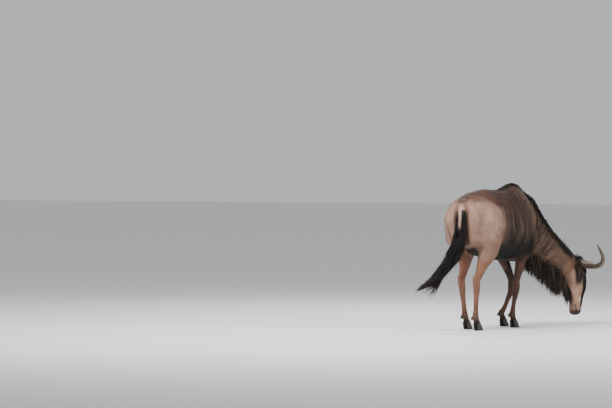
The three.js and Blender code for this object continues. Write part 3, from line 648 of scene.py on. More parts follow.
def trunk_colour(points):
    """Grey-brown body, pale behind, dark along the back; painted shade underneath and behind the thighs."""
    x, y, z = points.T
    run = spine_place(points)[0]
    wander = 0.022 * np.sin(z * 17 + 1) + 0.012 * np.sin(z * 41 + y * 9)
    colour = np.tile([0.105, 0.074, 0.057], (len(points), 1))
    colour = blend(colour, [0.080, 0.054, 0.044], bell((x + 0.32, 0.16)))
    colour = blend(colour, [0.275, 0.200, 0.165], smoothstep(-0.42, -0.60, x + 0.10 * (z - 0.9) + wander))
    colour = blend(colour, [0.380, 0.288, 0.245], bell((x + 0.74, 0.13), (z - 0.99, 0.13)) * (x < -0.5))
    colour = blend(colour, [0.215, 0.143, 0.112], bell((x + 0.64, 0.12), (z - 0.74, 0.10)) * (x < -0.5) * 0.8)
    colour = blend(colour, [0.190, 0.148, 0.122], bell((x - 0.00, 0.07), (z - 1.14, 0.12)) * 0.8)
    ridge = smoothstep(0.085, 0.02, np.abs(y)) * smoothstep(1.08, 1.16, z) * (x < 0.0)
    colour = blend(colour, [0.058, 0.029, 0.020], ridge * 0.95)
    croup = 0.10 * smoothstep(-0.55, -0.70, x)
    saddle = smoothstep(1.03 + croup, 1.15 + 0.6 * croup, z + wander) * smoothstep(-0.93, -0.86, x)
    saddle *= x < -0.08
    colour = blend(colour, [0.066, 0.033, 0.022], saddle * 0.9)
    # Painted shade: near black under the body from the chest to the flanks, where the light does not reach.
    belly_shade = smoothstep(0.88, 0.74, z + 0.03 * np.sin(x * 38))
    belly_shade *= smoothstep(-0.56, -0.48, x) * smoothstep(0.12, -0.02, x)
    colour = blend(colour, [0.007, 0.006, 0.005], belly_shade)
    # Painted shade: near black on the inner sides of the legs and under the body between them.
    inner = smoothstep(0.09, 0.04, np.abs(y)) * smoothstep(0.86, 0.70, z) * (x < 0.10)
    colour = blend(colour, [0.014, 0.010, 0.009], inner * smoothstep(-0.93, -0.78, x))
    # Painted shade in the cleft between the thighs, either side of the dock.
    cleft_shade = smoothstep(0.088, 0.062, np.abs(y)) * smoothstep(-0.86, -0.895, x) * smoothstep(0.70, 0.80, z)
    colour = blend(colour, [0.055, 0.034, 0.026], cleft_shade * smoothstep(1.12, 1.02, z) * 0.85)
    dock = smoothstep(-0.955, -0.970, x) * (z > 0.6)
    colour = blend(colour, [0.340, 0.255, 0.215], dock)
    colour = blend(colour, [0.009, 0.007, 0.006], dock * smoothstep(0.960, 0.880, z))
    colour = blend(colour, [0.128, 0.092, 0.069], smoothstep(0.26, 0.42, run) * 0.8)
    return colour, belly_shade


GRADE_MIDDLE = 0.3
GRADE_CONTRAST = 1.28
GRADE_TINT = [1.10, 0.98, 0.92]


def markings_and_shade(points, normals):
    """Hair colour, painted shade included, and how strongly the dark stripes show, at places on the body."""
    x, y, z = points.T
    run = spine_place(points)[0]
    head, leg = is_head(points), is_leg(points)
    right = head_place(points)[1]
    colour, belly_shade = trunk_colour(points)
    limb = np.where((x > -0.4)[:, None], [0.085, 0.052, 0.038], [0.200, 0.118, 0.083])
    # Painted shade: the far (left) foreleg is darkened to near black from the knee up, as if in shadow.
    limb = blend(limb, [0.020, 0.013, 0.010], (x > 0.02) * (y > 0) * smoothstep(0.28, 0.50, z) * 0.8)
    limb = blend(limb, [0.115, 0.066, 0.045], smoothstep(0.30, 0.16, z) * 0.6)
    limb = blend(limb, [0.040, 0.025, 0.018], smoothstep(0.13, 0.07, z))
    colour = colour + (limb - colour) * leg[:, None]
    colour = colour + (face_colour(points) - colour) * head[:, None]
    for s in SIDES:
        root, reach, opening = ear_frames[s]
        gap = points - root
        far = gap @ reach
        beside = np.linalg.norm(gap - far[:, None] * reach, axis=1)
        on_ear = smoothstep(0.004, 0.03, far) * (beside < EAR_GIRTH) * (far < EAR_END)
        on_ear *= np.abs(right) > 0.075
        tint = np.tile([0.290, 0.195, 0.140], (len(points), 1))
        # Painted shade: the inner wall of each ear cup, which faces the opening, is darker.
        tint = blend(tint, [0.130, 0.085, 0.066], smoothstep(-0.2, 0.5, normals @ opening))
        tint = blend(tint, [0.040, 0.028, 0.022], smoothstep(0.140, 0.172, far))
        colour = colour + (tint - colour) * on_ear[:, None]
    # The stripes fade under the painted shade of the underside.
    stripes = smoothstep(-0.54, -0.38, run) * (1 - head) * (1 - leg) * (1 - 0.85 * belly_shade)
    colour = GRADE_MIDDLE * (colour / GRADE_MIDDLE) ** GRADE_CONTRAST * GRADE_TINT
    return colour, stripes


def surface_grain(points):
    """Two lengths that follow the coat: one along its lie and one across it."""
    x, y, z = points.T
    run = spine_place(points)[0]
    down, right, out = head_place(points)
    head = is_head(points)
    lower = is_leg(points) * (1 - head)
    flow = np.where(head > 0.5, down, np.where(lower > 0.5, -z, run))
    on_body = np.where(lower > 0.5, np.abs(y) * 2 + x, z + 0.3 * np.abs(y))
    return flow, np.where(head > 0.5, right - out, on_body)


def put(mesh, name, kind, values):
    """Stores a colour or a vector for each point of a mesh, for its finish to read."""
    layer = mesh.attributes.new(name, kind, "POINT")
    field = "color" if kind == "FLOAT_COLOR" else "vector"
    layer.data.foreach_set(field, np.ascontiguousarray(values).ravel())


points, normals = read_points(skin.data) - SHIFT, read_points(skin.data, "normal")
tint, stripes = markings_and_shade(points, normals)
flow, cross = surface_grain(points)
put(skin.data, "tint", "FLOAT_COLOR", np.hstack([tint, np.ones((len(tint), 1))]))
put(skin.data, "lie", "FLOAT_VECTOR", np.stack([flow, cross, stripes], 1))


class Sum:
    """A shader socket that takes part in sums written out in Python."""

    def __init__(self, tree, socket):
        self.tree, self.socket = tree, socket

    def node(self, kind, settings=None, **sockets):
        """A new node: its settings, then the values or links of sockets, named or numbered _0 on."""
        made = self.tree.nodes.new(kind)
        for key, value in (settings or {}).items():
            if key != "stops":
                setattr(made, key, value)
                continue
            ramp = made.color_ramp.elements
            for k, (place, shade) in enumerate(value):
                stop = ramp[k] if k < len(ramp) else ramp.new(place)
                stop.position = place
                stop.color = (*shade, 1)
        for key, value in sockets.items():
            slot = made.inputs[int(key[1:])] if key[0] == "_" else made.inputs[key.replace("_", " ")]
            if isinstance(value, Sum):
                value.into(slot)
            else:
                slot.default_value = value
        return made

    def of(self, made, out=0):
        return Sum(self.tree, made.outputs[out])

    def into(self, slot):
        self.tree.links.new(self.socket, slot)

    def math(self, operation, *terms):
        sockets = {f"_{k}": term for k, term in enumerate(terms)}
        return self.of(self.node("ShaderNodeMath", {"operation": operation}, **sockets))

    def __add__(self, other):
        return self.math("ADD", self, other)

    def __sub__(self, other):
        return self.math("SUBTRACT", self, other)

    def __rsub__(self, other):
        return self.math("SUBTRACT", other, self)

    def __mul__(self, other):
        return self.math("MULTIPLY", self, other)

    __radd__ = __add__
    __rmul__ = __mul__

    def mix(self, first, second):
        made = self.node("ShaderNodeMix", {"data_type": "RGBA"}, _0=self, _6=first, _7=second)
        return self.of(made, 2)


def new_finish(name, roughness, **constants):
    """A material, its shader node and a handle for making sums in its tree."""
    finish = bpy.data.materials.new(name)
    finish.use_nodes = True
    shader = finish.node_tree.nodes["Principled BSDF"]
    shader.inputs["Roughness"].default_value = roughness
    for key, value in constants.items():
        shader.inputs[key.replace("_", " ")].default_value = value
    return finish, shader, Sum(finish.node_tree, None)


def hair_finish(name, roughness, bump, gain=1.0, fine=0.9):
    """Hair colour from the tint worked out on the body, painted shade included, broken by stripes, flecks and
    the grain of the coat.
    """
    finish, shader, make = new_finish(name, roughness, Specular_IOR_Level=0.25)
    tint = make.of(make.node("ShaderNodeAttribute", {"attribute_name": "tint"}), 0)
    lie = make.of(make.node("ShaderNodeAttribute", {"attribute_name": "lie"}), 1)
    parts = make.node("ShaderNodeSeparateXYZ", _0=lie)
    flow, cross, stripe = make.of(parts, 0), make.of(parts, 1), make.of(parts, 2)
    place = make.of(make.node("ShaderNodeTexCoord"), 3)
    warp = make.of(make.node("ShaderNodeTexNoise", Vector=place, Scale=5.0, Detail=2.0))
    bands = make.of(make.node("ShaderNodeCombineXYZ", _0=flow * 44.0 + warp * 3.4, _1=cross * 3.6, _2=0.3))
    noise = make.of(make.node("ShaderNodeTexNoise", Vector=bands, Scale=1.0, Detail=2.5))
    band = make.of(make.node("ShaderNodeMapRange", _0=noise, _1=0.42, _2=0.60, _3=0.0, _4=1.0))
    grain = make.of(make.node("ShaderNodeCombineXYZ", _0=flow * 70.0, _1=cross * 520.0, _2=0.0))
    hairs = make.of(make.node("ShaderNodeTexNoise", Vector=grain, Scale=1.0, Detail=3.0))
    patch = make.of(make.node("ShaderNodeTexNoise", Vector=place, Scale=9.0, Detail=4.0))
    fleck = make.of(make.node("ShaderNodeTexNoise", Vector=place, Scale=160.0, Detail=2.0))
    colour = (stripe * band * 0.86).mix(tint, (0.016, 0.011, 0.009, 1))
    rows = make.of(make.node("ShaderNodeMapRange", _0=noise, _1=0.24, _2=0.36, _3=1.0, _4=0.0))
    colour = (stripe * rows * 0.45).mix(colour, (0.270, 0.165, 0.115, 1))
    shade = (hairs - 0.5) * fine + (patch - 0.5) * 1.3 + (fleck - 0.5) * 0.55 * fine + gain
    scaled = make.node("ShaderNodeVectorMath", {"operation": "SCALE"}, Vector=colour, Scale=shade)
    make.of(scaled).into(shader.inputs["Base Color"])
    if bump:
        height = hairs * 0.7 + fleck * 0.3 - stripe * band * 0.5
        relief = make.node("ShaderNodeBump", Height=height, Distance=bump, Strength=0.6)
        make.of(relief).into(shader.inputs["Normal"])
    return finish


skin.data.materials.append(hair_finish("short_hide", 0.62, 0.0035))
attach(skin, "root")
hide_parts("torso", "neck", "head", "leg_fore_left", "leg_fore_right", "leg_hind_left",
            "leg_hind_right", "tail_dock", "ear_left", "ear_right")

# Eyes. Dark wet balls of glass with a level bar of a pupil, turned round the line of the gaze with
# a slight bulge in front and seated behind the lids.
EYE_BULGE = 0.0012
eye_glass, shader, make = new_finish(
    "eye_glass", 0.10, Specular_IOR_Level=0.2, Coat_Weight=0.2, Coat_Roughness=0.03)
look = make.of(make.node("ShaderNodeAttribute", {"attribute_name": "gaze"}), 1)
parts = make.node("ShaderNodeSeparateXYZ", _0=look)
level, upright = make.of(parts, 0), make.of(parts, 1)
iris = make.math("SQRT", level * level + upright * upright)
pupil = make.math("SQRT", level * level * 0.30 + upright * upright * 1.7)
colour = make.of(make.node("ShaderNodeValToRGB", {"stops": [
    (0.0, (0.030, 0.014, 0.007)), (0.45, (0.058, 0.026, 0.011)), (0.66, (0.012, 0.007, 0.005)),
    (0.8, (0.004, 0.003, 0.003)),
]}, Fac=iris))
bar = make.of(make.node("ShaderNodeMapRange", _0=pupil, _1=0.24, _2=0.30, _3=1.0, _4=0.0))
bar.mix(colour, (0.001, 0.001, 0.0015, 1)).into(shader.inputs["Base Color"])
for side, name in ((-1, "left"), (1, "right")):
    gaze, corner, brow = eye_axes[side]
    rows, around = 40, 56
    points, looks = [EYE_AT[side] + gaze * (EYE_BALL + EYE_BULGE)], [[0, 0, 1]]
    flat = unit(np.cross(UP, gaze))
    rise = np.cross(gaze, flat)
    for r in range(1, rows):
        for i in range(around):
            a, b = math.pi * r / rows, 2 * math.pi * i / around
            ring = corner * math.cos(b) + brow * math.sin(b)
            radius = EYE_BALL + EYE_BULGE * math.exp(-(a / 0.55) ** 2)
            points.append(EYE_AT[side] + (gaze * math.cos(a) + ring * math.sin(a)) * radius)
            looks.append([ring @ flat * math.sin(a), ring @ rise * math.sin(a), math.cos(a)])
    points.append(EYE_AT[side] - gaze * EYE_BALL)
    looks.append([0, 0, -1])
    last = 1 + (rows - 2) * around
    faces = [(0, 1 + i, 1 + (i + 1) % around) for i in range(around)]
    faces += [(a, d, c, b) for a, b, c, d in tube_faces(rows - 1, around, first=1)]
    faces += [(last + around, last + (i + 1) % around, last + i) for i in range(around)]
    eye = add_mesh("eyeball_" + name, points, faces)
    put(eye.data, "gaze", "FLOAT_VECTOR", np.array(looks))
    eye.data.materials.append(eye_glass)
    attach(eye, "root")
    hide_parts("eye_" + name)

# Horns. Smooth grey-brown keratin that leaves the brow sideways, dips and turns up to dark points,
# with a rough boss at the root, faint growth rings along the first half and painted shade beneath.
HORN_PATH = np.array([
    [22, 30, 40, 42], [34, 74, 60, 38], [44, 136, 84, 32], [48, 206, 104, 28], [34, 274, 116, 24],
    [-2, 320, 114, 20], [-50, 336, 102, 16], [-100, 318, 88, 11], [-150, 286, 78, 3.4],
], float)
horn_finish, shader, make = new_finish("horn_keratin", 0.42, Specular_IOR_Level=0.45)
grown = make.of(make.node("ShaderNodeAttribute", {"attribute_name": "grown"}), 1)
parts = make.node("ShaderNodeSeparateXYZ", _0=grown)
share, turned, under = (make.of(parts, k) for k in range(3))
lengthwise = make.of(make.node("ShaderNodeCombineXYZ", _0=share * 9.0, _1=turned * 14.0, _2=0.0))
streak = make.of(make.node("ShaderNodeTexNoise", Vector=lengthwise, Scale=1.0, Detail=3.0))
crosswise = make.of(make.node("ShaderNodeCombineXYZ", _0=share * 90.0, _1=turned * 1.5, _2=2.0))
ringed = make.of(make.node("ShaderNodeTexNoise", Vector=crosswise, Scale=1.0, Detail=2.0))
colour = make.of(make.node("ShaderNodeValToRGB", {"stops": [
    (0.0, (0.040, 0.026, 0.017)), (0.16, (0.092, 0.059, 0.036)), (0.50, (0.175, 0.117, 0.070)),
    (0.76, (0.125, 0.086, 0.056)), (0.93, (0.022, 0.016, 0.012)),
]}, Fac=share + (streak - 0.5) * 0.12))
# Painted shade: the under side of the horn is darkened towards black, away from the root.
colour = (under * 0.7).mix(colour, (0.014, 0.010, 0.008, 1))
shade = (streak - 0.5) * 1.1 + (ringed - 0.5) * 0.7 + 0.92
scaled = make.node("ShaderNodeVectorMath", {"operation": "SCALE"}, Vector=colour, Scale=shade)
make.of(scaled).into(shader.inputs["Base Color"])
height = streak * 0.6 + ringed * 0.4
relief = make.node("ShaderNodeBump", Height=height, Distance=0.0016, Strength=0.55)
make.of(relief).into(shader.inputs["Normal"])
for side, name in ((-1, "left"), (1, "right")):
    table = np.array([
        [*(on_head(d / 1000, side * r / 1000, o / 1000) * 1000), w, w, w, 0, 0]
        for d, r, o, w in HORN_PATH
    ])
    levels, around = 190, 52
    t = np.linspace(0, 1, levels)
    parts = sections(table, t, face_out)
    rng = np.random.default_rng(7 + side)
    rough = rng.normal(size=(levels, around))
    for k in range(4):
        rough = (rough + np.roll(rough, 1, 1) + np.roll(rough, -1, 1)) / 3
    rings, facts = [], []
    fade = smoothstep(0.62, 0.10, t)
    ridge = np.sin(t * 210 + np.sin(t * 17) * 2.4) * 0.0011 * fade + np.sin(t * 96 + 1) * 0.0009 * fade
    for i in range(around):
        a = 2 * math.pi * i / around
        knob = rough[:, i] * 0.0030 * smoothstep(0.20, 0.02, t)
        rings.append(rim(parts, np.full(levels, a), ridge * (0.55 + 0.45 * math.cos(a - 0.6)) + knob))
        turned = np.full(levels, abs(a / math.pi - 1))
        # How far each point lies on the under side, for the painted shade.
        under = np.full(levels, max(0.0, -math.sin(a))) * smoothstep(0.05, 0.3, t)
        facts.append(np.stack([t, turned, under], 1))
    points = np.stack(rings, 1).reshape(-1, 3)
    facts = np.stack(facts, 1).reshape(-1, 3)
    faces = tube_faces(levels, around)
    faces.append(tuple(range(around)))
    tip = parts[0][-1] + parts[1][-1] * 0.0025
    points = np.vstack([points, tip])
    facts = np.vstack([facts, [1, 0, 0]])
    end = (levels - 1) * around
    faces += [(end + i, end + (i + 1) % around, levels * around) for i in range(around)]
    horn = add_mesh("horn_sheath_" + name, points, faces)
    put(horn.data, "grown", "FLOAT_VECTOR", facts)
    horn.data.materials.append(horn_finish)
    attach(horn, "root")
    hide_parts("horn_" + name)

# Hooves. Two claws of dark horn to each foot, flat under the sole, worn and ringed across the wall,
# lofted up from the floor, with a small dew claw behind each side of the pastern.
hoof_finish, shader, make = new_finish("hoof_wall", 0.5)
place = make.of(make.node("ShaderNodeTexCoord"), 3)
rise = make.of(make.node("ShaderNodeSeparateXYZ", _0=place), 2)
wear = make.of(make.node("ShaderNodeTexNoise", Vector=place, Scale=60.0, Detail=4.0))
rows = make.of(make.node("ShaderNodeCombineXYZ", _0=rise * 420.0, _1=wear * 0.8, _2=0.0))
ring = make.of(make.node("ShaderNodeTexNoise", Vector=rows, Scale=1.0, Detail=2.0))
colour = make.of(make.node("ShaderNodeValToRGB", {"stops": [
    (0.25, (0.012, 0.010, 0.009)), (0.55, (0.034, 0.027, 0.023)), (0.78, (0.085, 0.068, 0.055)),
]}, Fac=wear * 0.55 + ring * 0.45))
colour.into(shader.inputs["Base Color"])
relief = make.node("ShaderNodeBump", Height=ring * 0.7 + wear * 0.3, Distance=0.0014, Strength=0.6)
make.of(relief).into(shader.inputs["Normal"])
# Height, shift forward, half width, and length before and behind the middle, in millimetres.
CLAW = np.array([
    [0, 20, 15.2, 50, 38], [1.2, 20, 16.4, 52.4, 39.4], [4, 19.6, 17.2, 53, 39.6],
    [10, 18.2, 17.4, 52, 39], [20, 14.5, 17.4, 47, 37.6], [34, 9, 17, 40, 35],
    [48, 4, 16.2, 35, 33], [58, 0.4, 15.6, 31, 31], [64, -1, 14.2, 28, 28], [72, -3, 11, 22, 22],
], float)
CLAW_OFFSET = 0.0185
FEET = {
    "fore_right": (-0.172, -0.103), "fore_left": (-0.030, 0.103 - 0.6 * 0.034),
    "hind_right": (-0.832, -0.103), "hind_left": (-0.656, 0.103),
}
levels = np.linspace(0, len(CLAW) - 1, 46)
rows = np.stack([np.interp(levels, np.arange(len(CLAW)), CLAW[:, k] / 1000) for k in range(5)], 1)
around = 48
turn = np.arange(around) * 2 * math.pi / around
c, s = np.cos(turn), np.sin(turn)
for foot, (ahead, line) in FEET.items():
    for place, half in (("outer", math.copysign(1, line)), ("inner", -math.copysign(1, line))):
        narrow = np.where(c > 0, 1 - 0.35 * c * c, 1) * np.where(s * half < 0, 0.85, 1)
        rings = []
        for z, shift, wide, front, back in rows:
            worn = 0.0007 * math.sin(z * 620) * smoothstep(0.004, 0.012, z) * smoothstep(0.062, 0.05, z)
            x = ahead + shift + (np.where(c > 0, front, back) + worn) * c
            y = line + half * CLAW_OFFSET + (wide + worn * 0.5) * narrow * s
            rings.append(np.stack([x, y, np.full(around, z)], 1))
        points = np.vstack(rings)
        faces = capped_tube(len(rows), around)
        hoof = add_mesh("hoof_" + foot + "_" + place, points, faces)
        hoof.data.materials.append(hoof_finish)
        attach(hoof, "root")
        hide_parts("claw_" + foot + "_" + place)

DEW_CLAWS = ((-0.196, -0.103), (-0.062, 0.0826), (-0.862, -0.103), (-0.690, 0.103))
levels, around = 13, 20
verts, faces = [], []
for fetlock, line in DEW_CLAWS:
    for half in SIDES:
        middle = np.array([fetlock - 0.028, line + half * 0.018, 0.112])
        long = unit([-0.55, half * 0.18, -1.0])
        broad = unit(np.cross(long, [1.0, 0, 0]))
        deep = np.cross(long, broad)
        faces += capped_tube(levels, around, len(verts))
        for step in np.linspace(-1, 1, levels):
            girth = math.sqrt(max(1 - step * step, 0.0)) * (1 - 0.25 * step) + 0.02
            for a in np.arange(around) * 2 * math.pi / around:
                edge = broad * math.cos(a) * 0.0115 + deep * math.sin(a) * 0.0095
                verts.append(middle + long * step * 0.019 + edge * girth)
dew_claws = add_mesh("dew_claws", verts, faces)
dew_claws.data.materials.append(hoof_finish)
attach(dew_claws, "root")

# Coat. Tapered tufts of short hair, solid and closed, rooted in the skin and lying back along the
# body and down the legs, smallest on the face and feet. Each carries the colour of its root, painted shade
# included.
TUFT_PATCH = 0.003
ROOT_SHADE = 0.80
TIP_GAIN = 0.35
ROUNDNESS = 0.35


def strands(name, paths, up, widths, thicks, taper, sides, colours, lies, patches, finish,
            nodes=(), facing=None):
    """One mesh of closed tapering hair tufts, one for each row of paths."""
    count, levels = paths.shape[:2]
    rings = levels - 1
    axis = unit(np.gradient(paths, axis=1))
    across = unit(np.cross(axis, up))
    outward = np.cross(across, axis)
    angle = np.arange(sides) * 2 * math.pi / sides + (math.pi / 2 if sides == 3 else 0)
    breadth = widths[:, None, None] * taper[None, :rings, None] * np.cos(angle) / 2
    height = thicks[:, None, None] * taper[None, :rings, None] * np.sin(angle) / 2
    wall_across, wall_out = across[:, :rings, None], outward[:, :rings, None]
    body = paths[:, :rings, None] + wall_across * breadth[..., None] + wall_out * height[..., None]
    points = np.concatenate([body.reshape(count, -1, 3), paths[:, -1:]], 1)
    last, tip = (rings - 1) * sides, rings * sides
    stride = tip + 1
    quads = [(a, d, c, b) for a, b, c, d in tube_faces(rings, sides)]
    tips = [(last + i, tip, last + (i + 1) % sides) for i in range(sides)]
    corners = np.array([v for face in quads + tips + [range(sides)] for v in face])
    totals = np.array([4] * len(quads) + [3] * len(tips) + [sides])
    starts = np.concatenate([[0], np.cumsum(totals)[:-1]])
    base = np.arange(count)[:, None]
    loops = (corners[None] + base * stride).ravel()
    mesh = bpy.data.meshes.new(name)
    mesh.vertices.add(count * stride)
    mesh.vertices.foreach_set("co", (points + SHIFT).ravel())
    mesh.loops.add(len(loops))
    mesh.loops.foreach_set("vertex_index", loops.astype(np.int32))
    mesh.polygons.add(count * len(totals))
    mesh.polygons.foreach_set("loop_start", (starts[None] + base * len(corners)).ravel().astype(np.int32))
    mesh.polygons.foreach_set("use_smooth", np.ones(count * len(totals), bool))
    mesh.update(calc_edges=True)
    share = np.concatenate([np.repeat(np.arange(rings) / rings, sides), [1.0]]) - 0.5
    lean = np.concatenate([np.tile(np.cos(angle), rings) / 2, [0.0]])
    inset = np.stack([share, lean], 1) * TUFT_PATCH
    places = patches[:, None] + inset[None]
    layer = mesh.uv_layers.new(name="OFBake")
    layer.data.foreach_set("uv", places[:, corners].ravel())
    fill = np.ones((count, stride, 4))
    fill[..., :3] = colours[:, None] * (ROOT_SHADE + TIP_GAIN * (share[None, :, None] + 0.5))
    put(mesh, "tint", "FLOAT_COLOR", fill.reshape(-1, 4))
    put(mesh, "lie", "FLOAT_VECTOR", np.repeat(lies, stride, 0))
    if facing is not None:
        radial = wall_across * np.cos(angle)[:, None] + wall_out * np.sin(angle)[:, None]
        radial = np.concatenate([radial.reshape(count, -1, 3), outward[:, -1:]], 1)
        normals = unit(facing[:, None] + radial * ROUNDNESS)
        mesh.normals_split_custom_set_from_vertices(normals.reshape(-1, 3))
    made = bpy.data.objects.new(name, mesh)
    bpy.context.collection.objects.link(made)
    made.data.materials.append(finish)
    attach(made, "root")
    if nodes:
        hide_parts(*nodes)
    return made


def patch_of(points):
    """Where each root falls on a flat layout of the skin: trunk and neck, head, and four legs."""
    x, y, z = points.T
    run, way = spine_place(points)
    side = unit(np.cross(way, UP))
    top = np.cross(side, way)
    middle = np.stack([np.interp(run, SPINE_RUN, SPINE[:, k]) for k in range(3)], 1)
    gap = points - middle
    turn = np.arctan2((gap * side).sum(1), (gap * top).sum(1)) / (2 * math.pi) + 0.5
    far = (run - SPINE_RUN[0]) / (SPINE_RUN[-1] - SPINE_RUN[0])
    flat = np.stack([0.02 + 0.62 * far, 0.02 + 0.96 * turn], 1)
    down, right, out = head_place(points)
    round_face = np.arctan2(right, out) / (2 * math.pi) + 0.5
    face = np.stack([0.68 + 0.28 * np.clip(down / 0.5, 0, 1), 0.02 + 0.44 * round_face], 1)
    flat = np.where(is_head(points)[:, None] > 0.5, face, flat)
    for k, (fore, left) in enumerate(((True, True), (True, False), (False, True), (False, False))):
        ours = (is_leg(points) > 0.5) & ((x > -0.4) == fore) & ((y > 0) == left)
        axis_x = np.where(fore, np.where(left, 0.03, -0.16), np.where(left, -0.70, -0.85))
        round_leg = np.arctan2(y - (0.1 if left else -0.1), x - axis_x) / (2 * math.pi) + 0.5
        leg = np.stack([0.68 + 0.28 * np.clip(z / 0.7, 0, 1), 0.51 + 0.12 * k + 0.10 * round_leg], 1)
        flat = np.where(ours[:, None], leg, flat)
    return flat


tree = BVHTree.FromObject(skin, bpy.context.evaluated_depsgraph_get())
skin.data.calc_loop_triangles()
corner_ids = np.empty(len(skin.data.loop_triangles) * 3, np.int32)
skin.data.loop_triangles.foreach_get("vertices", corner_ids)
corner_ids = corner_ids.reshape(-1, 3)
skin_points, skin_normals = read_points(skin.data) - SHIFT, read_points(skin.data, "normal")
corners_at = skin_points[corner_ids]
centres = corners_at.mean(1)
edge_one, edge_two = corners_at[:, 1] - corners_at[:, 0], corners_at[:, 2] - corners_at[:, 0]
areas = np.linalg.norm(np.cross(edge_one, edge_two), axis=1) / 2


def scatter(count, weight, rng):
    """Places on the skin, spread by area and by the weight given for each triangle."""
    total = np.cumsum(areas * weight)
    pick = np.searchsorted(total, (np.arange(count) + rng.random(count)) / count * total[-1])
    pick = np.minimum(pick, len(total) - 1)
    a, b = rng.random(count), rng.random(count)
    a, b = np.where(a + b > 1, 1 - a, a), np.where(a + b > 1, 1 - b, b)
    weights = np.stack([1 - a - b, a, b], 1)[..., None]
    ids = corner_ids[pick]
    return (skin_points[ids] * weights).sum(1), unit((skin_normals[ids] * weights).sum(1))


def coat_way(points, normals):
    """The way that hair lies: back along the trunk and neck, down the legs and down the face."""
    way = spine_place(points)[1]
    head, leg = is_head(points)[:, None], is_leg(points)[:, None]
    lie = -way * 0.85 - UP * 0.50
    lie = lie + (-UP - lie) * leg
    lie = lie + (face_down - lie) * head
    for root, reach, opening in ear_frames.values():
        gap = points - root
        far = gap @ reach
        beside = np.linalg.norm(gap - far[:, None] * reach, axis=1)
        on_ear = (far > 0.01) & (far < EAR_END) & (beside < EAR_GIRTH)
        lie = np.where(on_ear[:, None], reach, lie)
    lie = lie - normals * (lie * normals).sum(1)[:, None]
    return unit(lie)


coat_finish = hair_finish("coat_hair", 0.62, 0, 1.06, 0.42)
centre_head, centre_leg = is_head(centres), is_leg(centres)
eye_gap = np.minimum(*[np.linalg.norm(centres - EYE_AT[s], axis=1) for s in SIDES])
muzzle = smoothstep(0.43, 0.47, head_place(centres)[0]) * (centre_head > 0.5)
nostrils = [on_head(0.454, s * 0.052, 0.024) for s in SIDES]
nose_gap = np.minimum(*[np.linalg.norm(centres - nostril, axis=1) for nostril in nostrils])
bare = (eye_gap < 0.027) | (muzzle > 0.6) | (nose_gap < 0.022)
body_part = (1 - centre_head) * (1 - centre_leg)
hind_part = smoothstep(-0.33, -0.37, centres[:, 0])
leg_part = (centre_leg > 0) * (0.4 + 0.6 * centre_leg) * (1 - centre_head) * (0.5 + (centres[:, 2] < 0.15))
head_part = (centre_head > 0) * (0.3 + 0.7 * centre_head) * (~bare)
# Name, how many tufts, where, their length, width, thickness and lift, and the seed of the draws.
spread = (
    ("coat_rump", 19500, body_part * hind_part, 0.020, 0.0048, 0.0013, 0.0018, 3),
    ("coat_shoulder", 19500, body_part * (1 - hind_part), 0.023, 0.0050, 0.0014, 0.0022, 6),
    ("coat_legs", 12000, leg_part, 0.014, 0.0036, 0.0010, 0.0012, 4),
    ("coat_head", 17000, head_part, 0.0095, 0.0026, 0.0008, 0.0007, 5),
)
TUFT_TAPER = np.array([0.75, 1.0, 0.0])
for name, count, weight, length, width, thick, lift, seed in spread:
    rng = np.random.default_rng(seed)
    roots, out = scatter(count, weight, rng)
    lie = coat_way(roots, out)
    sideways = np.cross(out, lie)
    lie = unit(lie + sideways * rng.normal(0, 0.16, count)[:, None])
    if name in ("coat_rump", "coat_shoulder"):
        run = spine_place(roots)[0]
        long = 1 + 0.6 * smoothstep(0.75, 0.66, roots[:, 2]) + 0.5 * smoothstep(0.2, 0.5, run)
    elif name == "coat_legs":
        long = 1 + 0.4 * smoothstep(0.12, 0.09, roots[:, 2])
    else:
        long = 1 + 0.8 * smoothstep(-0.06, -0.12, head_place(roots)[2])
    reach = (length * long * rng.uniform(0.75, 1.25, count))[:, None, None]
    share = np.array([0, 0.45, 1.0])[None, :, None]
    rise = (lift * rng.uniform(0.5, 1.5, count))[:, None, None]
    paths = (roots[:, None] - out[:, None] * thick * 0.5 + lie[:, None] * reach * share
             + out[:, None] * rise * share * (1.7 - share))
    colours, stripes = markings_and_shade(roots, out)
    colours = colours * rng.normal(1, 0.09, count).clip(0.7, 1.4)[:, None]
    flow, cross = surface_grain(roots)
    widths = width * rng.uniform(0.7, 1.3, count)
    strands(name, paths, out[:, None] + 0 * paths, widths, np.full(count, thick), TUFT_TAPER, 3, colours,
            np.stack([flow, cross, stripes], 1), patch_of(roots), coat_finish, facing=out)

# Mane, beard and forelock. Long coarse black hair in closed locks, drawn from roots on the skin: a
# crest along the neck that falls mostly to the left, a brown-black fringe under the throat, a tuft
# between the horns, bristles on the nose.
SKIN_REACH = 0.09


def rest_on(points, lift):
    """Moves points out to stand at least lift above the skin."""
    moved = points.copy()
    for k, point in enumerate((points + SHIFT).tolist()):
        near, normal = tree.find_nearest(point, SKIN_REACH)[:2]
        if near is None:
            continue
        height = (Vector(point) - near).dot(normal)
        if height < lift[k]:
            moved[k] = np.array(near + normal * lift[k]) - SHIFT
    return moved


def fall_paths(roots, first, fall, lengths, levels, lift, bend):
    """Hair that leaves its root one way, bends to another and rests on the skin below it."""
    paths, way = [roots], unit(first)
    for k in range(1, levels):
        way = unit(way + (fall - way) * bend)
        point = paths[-1] + way * (lengths / (levels - 1))[:, None]
        paths.append(rest_on(point, lift * min(1, k / 2)))
    return np.stack(paths, 1)


RAY_REACH = 0.6


